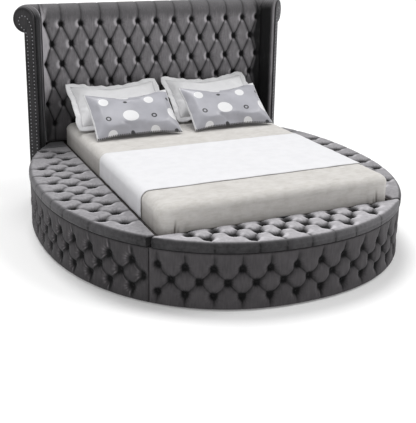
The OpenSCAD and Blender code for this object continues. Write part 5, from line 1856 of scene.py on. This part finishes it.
@dataclass
class Mattress:
    """Mattress and its fitted sheet."""

    width: float = 1524.0
    length: float = 2032.0
    mid_y: float = -26.0
    bottom: float = 290.0
    top: float = 548.0
    sheet_top: float = 550.3
    sheet_low: float = 322.4
    corner: float = 55.0
    shoulder: float = 48.0
    per_loop: int = 560
    body_inset: float = 7.5
    low_round: float = 22.0
    top_round: float = 46.0
    cloth: float = 1.6
    tucks: tuple[tuple[float, float, float, float], ...] = ((16, 6.0, 5, 0.45), (32, 8.0, 6, 0.15),
                                                            (52, 6.0, 6, 0.35), (96, 3.0, 11, 0.3))

    def outline(self, inset: float, radius: float) -> tuple[Array, Array]:
        """Rounded rectangle in plan.

        Args:
            inset: How far it is drawn in.
            radius: Radius of its corners.

        Returns:
            Its points, which stand closer together near the corners, and their normals.
        """
        w, l = self.width / 2 - inset - radius, self.length / 2 - inset - radius
        pts, nrm = [], []
        for (cx, cy, a0) in ((w, l, 0), (-w, l, 90), (-w, -l, 180), (w, -l, 270)):
            for a in np.radians(np.linspace(a0, a0 + 90, 12)):
                pts.append([cx + radius * math.cos(a), cy + radius * math.sin(a)])
                nrm.append([math.cos(a), math.sin(a)])
        pts, nrm = np.array(pts + pts[:1]), np.array(nrm + nrm[:1])
        run = np.concatenate([[0], np.cumsum(np.linalg.norm(np.diff(pts, axis=0), axis=1))])
        share = np.linspace(0, 1, 4001)
        corners = np.array([c + k for k in (-1, 0, 1) for c in self.corner_shares()])
        away = np.min(abs(share[:, None] - corners[None, :]), axis=1) * 7000
        dense = np.cumsum(1 + 3.2 * np.exp(-(away / 110) ** 2))
        s = run[-1] * np.interp(np.arange(self.per_loop) / self.per_loop,
                                (dense - dense[0]) / (dense[-1] - dense[0]), share)
        out = np.stack([np.interp(s, run, pts[:, 0]), np.interp(s, run, pts[:, 1])], -1)
        n = np.stack([np.interp(s, run, nrm[:, 0]), np.interp(s, run, nrm[:, 1])], -1)
        n /= np.linalg.norm(n, axis=1)[:, None]
        out[:, 1] += self.mid_y
        return out, n

    def corner_shares(self) -> list[float]:
        """Share of the outline's length at which each corner lies.

        Returns:
            Share of each corner, from 0 to 1.
        """
        w, l = self.width - 2 * self.corner, self.length - 2 * self.corner
        arc = math.pi / 2 * self.corner
        whole = 2 * (w + l) + 4 * arc
        before = (0, w, w + l, 2 * w + l)
        return [((n + 0.5) * arc + straight) / whole for n, straight in enumerate(before)]

    def surface(self, x: Array, y: Array) -> Array:
        """Height of the sheet's top, which is a little uneven.

        Args:
            x: Places across the bed.
            y: Places along it.

        Returns:
            Height at each place.
        """
        edge = np.minimum(self.width / 2 - abs(x), self.length / 2 - abs(y - self.mid_y))
        fade = unit((edge - 20) / 160)
        dips = 1.3 * wander(x, y, 420, 31) + 0.8 * wander(x * 1.6, y * 0.5, 160, 32)
        return self.sheet_top - 1.6 + np.minimum(dips, 1.3) * fade - 2.4 * unit(1 - edge / 90) ** 2

    def make_mattress(self) -> Piece:
        """Build the mattress: a soft block with rounded corners, round edges and a welt.

        Returns:
            The mattress.
        """
        arc = np.radians(np.linspace(0, 90, 8))
        low = [self.rounded(c, self.bottom, self.low_round) for c in arc]
        top = [self.rounded(c, self.top - 4.0, -self.top_round) for c in arc[::-1]]
        # A small welt stands out, turned down over itself, where the border panel meets the bottom
        pts, nrm = self.outline(self.body_inset, self.corner)
        welts = [np.column_stack([pts + 2.0 * nrm, low[-1][:, 2] + rise]) for rise in (5, 0)]
        loops = low + welts + top
        return outward(build("mattress_body", np.concatenate(loops), swept_faces(len(loops), self.per_loop)))

    def rounded(self, angle: float, z: float, radius: float) -> Array:
        """One loop of the mattress's rounded edge.

        Args:
            angle: Angle round the edge, 0 on the flat face.
            z: Height of the flat face.
            radius: Radius of the edge, below 0 where it curves down from the face.

        Returns:
            Points of the loop.
        """
        away = abs(radius) * (1 - math.sin(angle))
        pts, _ = self.outline(self.body_inset + away, max(self.corner - away, 5))
        return np.column_stack([pts, np.full(len(pts), z + radius * (1 - math.cos(angle)))])

    def make_sheet(self) -> Piece:
        """Build the fitted sheet: loops from its middle outwards, then down the mattress's sides.

        Returns:
            The sheet.
        """
        loops = []
        r0 = self.corner
        for inset in np.concatenate([np.linspace(0.96 * self.width / 2, 120, 24),
                                     np.linspace(108, self.shoulder + 3, 6)]):
            pts, _ = self.outline(inset, max(r0 - inset * 0.3, 6))
            loops.append(np.column_stack([pts, self.surface(pts[:, 0], pts[:, 1])]))
        pts0, nrm = self.outline(0, r0)
        run = np.concatenate([[0], np.cumsum(np.linalg.norm(np.diff(pts0, axis=0), axis=1))])
        for a in np.linspace(0, 90, 10):
            c = math.radians(a)
            inset = self.shoulder * (1 - math.sin(c))
            pts, _ = self.outline(inset, max(r0 - inset * 0.3, 6))
            z = self.surface(pts[:, 0], pts[:, 1]) - self.shoulder * (1 - math.cos(c))
            loops.append(np.column_stack([pts, z]))
        # Corner distance: how far a point is from the nearest corner, along the outline
        cx = np.abs(pts0[:, 0]) - (self.width / 2 - r0)
        cy = np.abs(pts0[:, 1] - self.mid_y) - (self.length / 2 - r0)
        from_corner = np.hypot(np.minimum(cx, 0), np.minimum(cy, 0))
        # Painted shade of each loop, 1 where none is painted
        shades = [np.ones(len(loop)) for loop in loops]
        z_top, z_low = loops[-1][:, 2].mean(), self.sheet_low
        for f in np.linspace(0.04, 1, 20):
            z = z_top + (z_low - z_top) * f
            billow = 1.1 * np.sin(np.pi * f)
            ripples = 1.3 * wander(run, np.full_like(run, z * 0.35), 90, 41)
            tucks, dark = np.zeros_like(run), np.zeros_like(run)
            for offset, size, wide, reach in self.tucks:
                ridge = np.exp(-((from_corner - offset - 16 * (1 - f)) / wide) ** 2)
                ridge *= unit((f - reach) * 3) * np.where(cx > cy, 0.35, 1.0)
                tucks += size * ridge
                # Painted shade along each fold's ridge
                dark = np.maximum(dark, size / 8 * ridge)
            # Painted shade: the sides towards the benches are painted darker, as if they held less light
            shaded = 0.34 * unit((cx - cy) / 60 + 0.5) * min(1.0, 4 * f)
            shades.append((1 - 0.9 * dark) * (1 - shaded))
            pull = billow + np.clip(ripples, -1.5, 1.2) * (0.3 + 0.7 * f) - tucks * 0.6
            under = -10 * unit((f - 0.9) / 0.1) ** 2
            loops.append(np.column_stack([pts0 + nrm * (np.minimum(pull, 1.2) - 1.2 + under)[:, None],
                                          np.full(len(run), z)]))
        quads = grid_quads(len(loops), self.per_loop, closed=True).tolist()
        quads.append(list(range(self.per_loop)))
        piece = build("fitted_sheet_cloth", np.concatenate(loops), quads, painted_light=np.concatenate(shades))
        thicken(piece, self.cloth, -1.0)
        return piece

    def dress(self, ticking: Material, cloth: Material) -> list[Piece]:
        """Build and finish the mattress in its ticking, and the sheet in its cloth.

        Args:
            ticking: Material of the mattress.
            cloth: Material of the cloth.

        Returns:
            The finished pieces.
        """
        body = dress_piece(self.make_mattress(), "mattress", ticking)
        sheet = dress_piece(self.make_sheet(), "fitted_sheet", cloth)
        return [body, sheet]


@dataclass
class Throw:
    """White throw laid across the bed and hanging a little way down both sides."""

    mattress: Mattress
    foot: float = -765.0
    width: float = 800.0
    side_x: float = 765.0
    low: float = 392.8
    turn: float = 52.0
    thickness: float = 3.0

    def section(self) -> tuple[Array, Array]:
        """The throw's line over the bed: flat, turned over each side and hanging down.

        Returns:
            Place across of each point, and its height against the top.
        """
        arc = np.radians(np.linspace(9, 90, 10))
        hang = np.linspace(0, 1, 14)[1:]
        flat = np.linspace(0, self.side_x - self.turn, 58)
        x = np.concatenate([flat, self.side_x - self.turn + self.turn * np.sin(arc),
                            np.full(len(hang), self.side_x)])
        z = np.concatenate([0 * flat, -self.turn * (1 - np.cos(arc)),
                            -self.turn + (self.low - self.mattress.sheet_top + self.turn) * hang])
        return np.concatenate([-x[:0:-1], x]), np.concatenate([z[:0:-1], z])

    def make(self) -> Piece:
        """Build the cloth over the sheet, with slack, soft hems and waves where it hangs.

        Returns:
            The piece.
        """
        x, drop = self.section()
        y = np.linspace(self.foot, self.foot + self.width, 64)
        gx, gy = np.meshgrid(x, y, indexing="ij")
        gz = np.repeat(drop[:, None], len(y), 1)
        f = (gy - self.foot) / self.width
        hanging = unit(-gz / 150)
        base = self.mattress.surface(np.clip(gx, -self.side_x + self.turn, self.side_x - self.turn), gy)
        slack = 1.2 + 2.2 * unit(wander(gx * 0.8, gy * 1.3, 260, 52)) \
            + 1.3 * unit(wander(gx * 0.3, gy * 1.6, 120, 53))
        height = base + gz + slack * (1 - hanging) + 1.7
        waves = 1.2 * hanging * (1 + np.sin(f * 31 + 1.5 * np.sin(f * 9)))
        gx2 = gx + np.sign(gx) * (waves + 0.6) * (abs(gx) > self.side_x - 12)
        hem = 2.6 * np.sin(gx / 170.0) * np.exp(-((1 - abs(2 * f - 1)) / 0.10))
        swing = 7 * hanging * np.sin(gx / 90.0 + f * 3) * abs(2 * f - 1) ** 3
        gy2 = gy + hem * np.sign(f - 0.5) * 0.5 + swing
        points = np.stack([gx2, gy2, height], -1).reshape(-1, 3)
        piece = build("throw_blanket", points, grid_quads(len(x), len(y)).tolist())
        thicken(piece, self.thickness, 1.0)
        return piece

    def dress(self, cloth: Material, sheet: Piece) -> list[Piece]:
        """Build and finish the throw, which lies on the sheet.

        Args:
            cloth: Material of the cloth.
            sheet: The sheet under it; not used.

        Returns:
            The finished pieces.
        """
        piece = dress_piece(self.make(), "throw", cloth)
        return [piece]


@dataclass
class Pillow:
    """A pillow in a flanged or piped case, leaning on what is behind it."""

    name: str
    middle_x: float
    foot_y: float
    width: float
    height: float
    mattress: Mattress
    flange: float = 0.0
    thickness: float = 122.0
    lean: float = 36.0
    seed: int = 1
    satin: bool = False
    cell: float = 11.0
    border: tuple[float, ...] = (0.0, 0.25, 0.5, 0.75, 1.0)
    border_corner: float = 34.0

    SETTINGS = dict(quality=6, mass=0.15, use_pressure=True, uniform_pressure_force=3.2, tension_stiffness=22,
                    compression_stiffness=22, shear_stiffness=8, bending_stiffness=0.25)

    @property
    def bag(self) -> tuple[float, float, int, int]:
        """Width and height of the filled part, and its cells each way."""
        w, h = self.width - 2 * self.flange, self.height - 2 * self.flange
        return w, h, int(w / self.cell), int(h / self.cell)

    def body(self) -> tuple[Array, Array, list[list[int]]]:
        """Flat start of the case: two layers sewn together round their edge.

        Returns:
            Points in millimetres, cloth coordinates in metres, and faces.
        """
        w, h, nx, ny = self.bag
        u, v = np.linspace(-1, 1, nx + 1), np.linspace(-1, 1, ny + 1)
        gu, gv = np.meshgrid(u, v, indexing="ij")
        rise = ((1 - abs(gu) ** 3) * (1 - abs(gv) ** 3)) ** 0.5
        top = np.stack([gu * w / 2, gv * h / 2, 16 * rise], -1).reshape(-1, 3)
        low = top * np.array([1, 1, -1.0])
        rim = ((abs(gu) == 1) | (abs(gv) == 1)).ravel()
        number = np.zeros(len(top), int)
        number[rim] = np.arange(len(top))[rim]
        number[~rim] = len(top) + np.arange((~rim).sum())
        points = np.concatenate([top, low[~rim]])
        uv = np.concatenate([top[:, :2], low[~rim][:, :2]]) * MM
        quads = grid_quads(nx + 1, ny + 1)
        under = number[quads][:, ::-1]
        return points, uv, quads.tolist() + under.tolist()

    def inflate(self, points: Array, faces: list[list[int]]) -> Array:
        """Fill the case with Blender's cloth under pressure.

        Args:
            points: Points of the flat case, in millimetres.
            faces: Its faces.

        Returns:
            Points of the filled case.
        """
        mesh = bpy.data.meshes.new("filling")
        mesh.from_pydata((points * MM).tolist(), [], faces)
        case = bpy.data.objects.new("filling", mesh)
        bpy.context.scene.collection.objects.link(case)
        cloth = case.modifiers.new("cloth", "CLOTH")
        for key, value in self.SETTINGS.items():
            setattr(cloth.settings, key, value)
        cloth.settings.effector_weights.gravity = 0
        cloth.collision_settings.use_self_collision = False
        cloth.collision_settings.use_collision = False
        scene = bpy.context.scene
        for step in range(1, 27):
            scene.frame_set(step)
        graph = bpy.context.evaluated_depsgraph_get()
        done = case.evaluated_get(graph).to_mesh()
        out = np.zeros(len(done.vertices) * 3, np.float32)
        done.vertices.foreach_get("co", out)
        case.evaluated_get(graph).to_mesh_clear()
        bpy.data.objects.remove(case)
        scene.frame_set(1)
        return out.reshape(-1, 3).astype(float) / MM

    def filled(self) -> tuple[Array, Array, list[list[int]]]:
        """The filled case with its border, lying flat round the origin.

        Returns:
            Points in millimetres, cloth coordinates in metres, and faces.
        """
        points, uv, faces = self.body()
        w, h, _, _ = self.bag
        start = points.copy()
        points = self.inflate(points, faces)
        moved = points - start
        far = np.linalg.norm(moved, axis=1)
        points = start + moved * np.minimum(1, 62 / np.maximum(far, 1e-6))[:, None]
        points[:, 2] *= self.thickness / max(np.ptp(points[:, 2]), 1)
        points[:, :2] *= np.array([w, h]) / np.ptp(points[:, :2], axis=0)
        # The seams of a sewn case give less than the simulated ones
        points[:, :2] = 0.42 * points[:, :2] + 0.58 * start[:, :2]
        if self.flange > 0:
            points, uv, faces = self.add_flange(points, uv, faces)
        return points, uv, faces

    def add_flange(self, points: Array, uv: Array,
                   faces: list[list[int]]) -> tuple[Array, Array, list[list[int]]]:
        """Sew a flat, slightly waved border round the filled case.

        Args:
            points: Points of the case, in millimetres.
            uv: Its cloth coordinates, in metres.
            faces: Its faces.

        Returns:
            The same for the case with its border.
        """
        w, h, nx, ny = self.bag
        m = ny + 1
        loop = [i * m for i in range(nx + 1)] + [nx * m + j for j in range(1, ny + 1)]
        loop += [i * m + ny for i in range(nx - 1, -1, -1)] + [j for j in range(ny - 1, 0, -1)]
        rim, flat, count = points[loop], uv[loop] / MM, len(loop)
        # The border's corners are rounded: there it runs out at a slant, and no further than elsewhere
        out = np.sign(flat) * unit((abs(flat) - np.array([w / 2, h / 2]) + self.border_corner)
                                      / self.border_corner)
        out /= np.maximum(np.linalg.norm(out, axis=1), 1e-6)[:, None]
        along = np.arange(count) / count * 2 * np.pi
        rings = []
        for f in self.border:
            ring = rim.copy()
            ring[:, :2] += out * self.flange * f
            wave = 5.0 * np.sin(along * 17 + self.seed) + 3.0 * np.sin(along * 31 + 2 * self.seed)
            ring[:, 2] += f * wave
            rings.append(ring)
        layers = np.concatenate([r + [0, 0, z] for z in (1.0, -1.0) for r in rings])
        cloth = np.concatenate([(flat + out * self.flange * f) * MM for f in self.border] * 2)
        upper = grid_quads(len(rings), count, closed=True)
        k = np.arange(count)
        after, n, last = (k + 1) % count, len(rings) * count, (len(rings) - 1) * count
        seam = np.stack([k, after, after + n, k + n], -1)
        hem = last + np.stack([k, k + n, after + n, after], -1)
        extra = len(points) + np.concatenate([upper, upper[:, ::-1] + n, seam, hem])
        return np.concatenate([points, layers]), np.concatenate([uv, cloth]), faces + extra.tolist()

    def place(self, points: Array) -> Array:
        """Lean the pillow back, set it on the mattress and let its foot flatten there.

        Args:
            points: Points of the filled case, lying flat.

        Returns:
            Its points in the bed's frame.
        """
        a = math.radians(self.lean)
        x, y, z = points.T
        slump = 1 - 0.05 * unit((y / self.height + 0.5)) * np.cos(np.pi * x / self.width) ** 2
        y = (y + self.height / 2) * slump
        # The top edge sags between its corners
        y = y - 16 * unit(y / self.height) ** 2 * np.cos(np.pi * x / self.width) ** 2
        py = y * math.cos(a) - z * math.sin(a)
        pz = y * math.sin(a) + z * math.cos(a)
        out = np.stack([x + self.middle_x, py + self.foot_y, pz], -1)
        seat = self.mattress.surface(out[:, 0], out[:, 1])
        out[:, 2] += seat.mean() + 14 - out[:, 2].min() * 0.55
        floor = self.mattress.surface(out[:, 0], out[:, 1]) + 2.2
        below = out[:, 2] < floor + 8
        soft = floor + 8 * np.exp(-(floor + 8 - out[:, 2]) / 8)
        out[below, 2] = soft[below]
        return out

    def make(self) -> Piece:
        """Build the pillow."""
        points, uv, faces = self.filled()
        return outward(build(self.name + "_case", self.place(points), faces, uv=uv), merge=False)

    def dress(self, cloth: Material) -> list[Piece]:
        """Build and finish the pillow."""
        return [dress_piece(self.make(), self.name, cloth)]


# Carried-over solids


class Carcass:
    """Timber, steel and plastic parts that keep their solids and get their finish here."""

    TIMBER_ALONG_X = ("slats", "headboard_frame")
    TIMBER_ALONG_Y = ("slat_ledges", "centre_beam")
    # Boards in a dark stain, made near black so that they read as shadow where they show in gaps
    STAINED_SHADOW_DARK = ("foot_box_walls", "foot_box_floor", "left_box_walls", "right_box_walls", "left_box_floor",
               "right_box_floor", "foot_lid_board", "left_lid_board", "right_lid_board", "head_rail",
               "headboard_panel")
    TIMBER_UPRIGHT = ("left_wing_core", "right_wing_core", "centre_legs")
    STEEL = ("corner_brackets", "headboard_bolts")
    DARK_STEEL = ("fixed_hinge_leaves", "hinge_pins", "left_lid_hinge_leaves", "foot_lid_hinge_leaves",
                  "right_lid_hinge_leaves")

    def dress(self) -> None:
        """Give each carried-over node its material."""
        board = dict(light=(0.50, 0.36, 0.21), dark=(0.34, 0.22, 0.12))
        finishes = [
            (self.TIMBER_ALONG_X, Timber("timber_along_x", **board).make()),
            (self.TIMBER_ALONG_Y, Timber("timber_along_y", along=(1.0, 0.12, 1.0), **board).make()),
            # A dark stain, made near black so that the boards read as shadow where they show in gaps beside
            # the mattress and lids
            (self.STAINED_SHADOW_DARK, Timber("timber_stain_painted_shadow_dark", (0.040, 0.034, 0.030), (0.018, 0.015, 0.013),
                                  (1.0, 0.12, 1.0)).make()),
            (self.TIMBER_UPRIGHT, Timber("timber_upright", along=(1.0, 1.0, 0.12), **board).make()),
            (self.STEEL, Metal("zinc_plated_steel").make()),
            (self.DARK_STEEL, Metal("blackened_steel", (0.05, 0.05, 0.055), 1.0, 0.42).make()),
            (("floor_glides",), GlidePlastic("moulded_glide").make()),
        ]
        for names, material in finishes:
            for name in names:
                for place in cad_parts[name].material_slots:
                    place.material = material


# Studio


@dataclass
class Studio:
    """Floor, lights and the camera at the photograph's viewing angle."""

    focal: float = 757.996
    azimuth: float = -23.353
    elevation: float = 15.429
    distance: float = 5557.9
    target: tuple[float, float, float] = (-4.57, 299.149, 505.785)
    roll: float = 0.5761
    centre: tuple[float, float] = (189.858, 139.935)
    frame_size: tuple[int, int] = (416, 423)

    def floor(self) -> None:
        """Lay a wide pale floor."""
        deselect()
        bpy.ops.mesh.primitive_plane_add(size=120.0, location=(0, 0, 0))
        ground = bpy.context.active_object
        ground.name = "studio_floor"
        t = ShaderTree("studio_floor_paint")
        t.set(Roughness=0.9, Specular_IOR_Level=0.1, Emission_Color=(1, 1, 1, 1), Emission_Strength=0.16)
        ground.data.materials.append(t.finish(t.ramp(t.noise(0.8), [(0.3, (0.84, 0.84, 0.84)),
                                                                    (0.7, (0.86, 0.86, 0.86))])))

    def lamp(self, name: str, way: Sequence[float], power: float, angle: float) -> None:
        """Add a broad, even light from far away.

        Args:
            name: Name of the light.
            way: Direction from the bed towards the light.
            power: Its strength.
            angle: Its width in degrees, which softens the shadows.
        """
        light = bpy.data.lights.new(name, "SUN")
        light.energy = power
        light.angle = math.radians(angle)
        lamp = bpy.data.objects.new(name, light)
        lamp.rotation_euler = Vector(way).to_track_quat("Z", "Y").to_euler()
        bpy.context.scene.collection.objects.link(lamp)

    def lights(self) -> None:
        """Add the soft overhead light, one from each side, and a pale surround."""
        self.lamp("overhead", (0.0, 0.38, 1.0), 1.6, 22)
        self.lamp("left", (-0.85, -0.10, 0.85), 0.34, 40)
        self.lamp("right", (0.75, -0.22, 0.85), 1.0, 22)
        world = bpy.data.worlds.new("studio_surround")
        world.use_nodes = True
        world.node_tree.nodes["Background"].inputs["Color"].default_value = (1, 1, 1, 1)
        world.node_tree.nodes["Background"].inputs["Strength"].default_value = 0.42
        bpy.context.scene.world = world
        view = bpy.context.scene.view_settings
        view.view_transform = "Standard"
        view.look = "None"

    def camera(self) -> None:
        """Set the camera where the photograph was taken from."""
        az, el = math.radians(self.azimuth), math.radians(self.elevation)
        back = Vector((math.sin(az) * math.cos(el), -math.cos(az) * math.cos(el), math.sin(el)))
        target = Vector(to_row(np.array([self.target]))[0])
        forward = -back
        right = forward.cross(Vector((0, 0, 1))).normalized()
        up = right.cross(forward)
        r = math.radians(self.roll)
        right, up = right * math.cos(r) + up * math.sin(r), up * math.cos(r) - right * math.sin(r)
        lens = bpy.data.cameras.new("photo_camera")
        long_side = max(self.frame_size)
        lens.sensor_fit = "AUTO"
        lens.sensor_width = 36.0
        lens.lens = self.focal * 36.0 / long_side
        lens.shift_x = (self.frame_size[0] / 2 - self.centre[0]) / long_side
        lens.shift_y = (self.centre[1] - self.frame_size[1] / 2) / long_side
        lens.clip_end = 200
        camera = bpy.data.objects.new("photo_camera", lens)
        place = target + back * (self.distance * MM)
        axes = Matrix((right, up, back)).transposed().to_4x4()
        camera.matrix_world = Matrix.Translation(place) @ axes
        bpy.context.scene.collection.objects.link(camera)
        bpy.context.scene.camera = camera


def report(name: str, pieces: Sequence[Piece]) -> None:
    """Log each finished piece of a sub-assembly with its number of faces."""
    for piece in pieces:
        log.info("%s: %s, %d faces", name, piece.name, len(piece.data.polygons))


def main() -> None:
    """Build the bed's upholstery and bedding over the frame, then the studio."""
    logging.basicConfig(level=logging.INFO, format="%(message)s")
    deselect()
    studio = Studio()
    studio.camera()
    button = CoveredButton()
    # One grey velvet in three copies, painted to different brightness: lightest on the seats, which face the
    # light from above, darkest on the skirts, which face away from it
    seat = Velvet("grey_velvet_seats_painted_lightest", (0.006, 0.0055, 0.006), (0.62, 0.605, 0.63), 0.15,
                  brush=(0.45, 0.45, 0.45)).make()
    face = Velvet("grey_velvet_headboard_painted_mid", (0.004, 0.004, 0.0045), (0.52, 0.50, 0.52), 0.35).make()
    wall = Velvet("grey_velvet_skirts_painted_darkest", (0.003, 0.003, 0.0035), (0.36, 0.335, 0.352), 0.10).make()
    plain = Velvet("grey_velvet_plain", high=(0.10, 0.098, 0.102), painted_light_on=False).make()
    chrome = Metal("nail_chrome", (0.36, 0.36, 0.38), 1.0, 0.26).make()
    run, pts = RING.arc(TuftedSkirt.inset)
    join, head = (float(np.interp(y, pts[:, 1], run)) for y in (RING.join_y, RING.head_y))
    gap = TuftedSkirt.join_gap
    for skirt in (TuftedSkirt("foot_skirt", gap - join, join - gap),
                  TuftedSkirt("left_skirt", join + gap, head, Side.LEFT, tufting=LEFT_SKIRT_TUFTS),
                  TuftedSkirt("right_skirt", join + gap, head, Side.RIGHT)):
        report("skirt", skirt.dress(wall, button))
    for lid in (SideLid("left_lid", side=Side.LEFT), SideLid("right_lid", side=Side.RIGHT),
                FootLid("foot_lid")):
        report("lid", lid.dress(seat, button))
    report("headboard", TuftedHeadboard().dress(face, plain, button))
    for side in Side:
        report("wing", Wing(side).dress(face, plain, chrome))
        report("deck", RearDeck(side).dress(plain))
    ticking = Cotton("mattress_ticking", (0.70, 0.69, 0.66), (0.6, 0.58, 0.55), 500).make()
    cotton = Cotton("sheet_cotton", (0.64, 0.62, 0.595), (0.56, 0.54, 0.515), slubs_and_painted_shade=True).make()
    mattress = Mattress()
    body, sheet = mattress.dress(ticking, cotton)
    report("mattress", [body, sheet])
    blanket = Cotton("throw_cotton", (0.79, 0.79, 0.81), (0.74, 0.74, 0.76), 600).make()
    report("throw", Throw(mattress).dress(blanket, sheet))
    white = Cotton("pillow_cotton", (0.90, 0.90, 0.91), (0.84, 0.84, 0.85), crease=0.006).make()
    satin = SatinPrint("satin_print").make()
    for side in Side:
        sign = side.value
        back = Pillow(f"{side.word}_back_pillow", 389.0 * sign, 591.6, 750, 490, mattress, seed=3 + sign,
                      flange=42)
        front = Pillow(f"{side.word}_front_pillow", 375.0 * sign, 326.0, 650, 430, mattress, seed=7 + sign,
                       satin=True)
        report("pillow", back.dress(white) + front.dress(satin))
    Carcass().dress()
    studio.floor()
    studio.lights()
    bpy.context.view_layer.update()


if __name__ == "__main__":
    main()
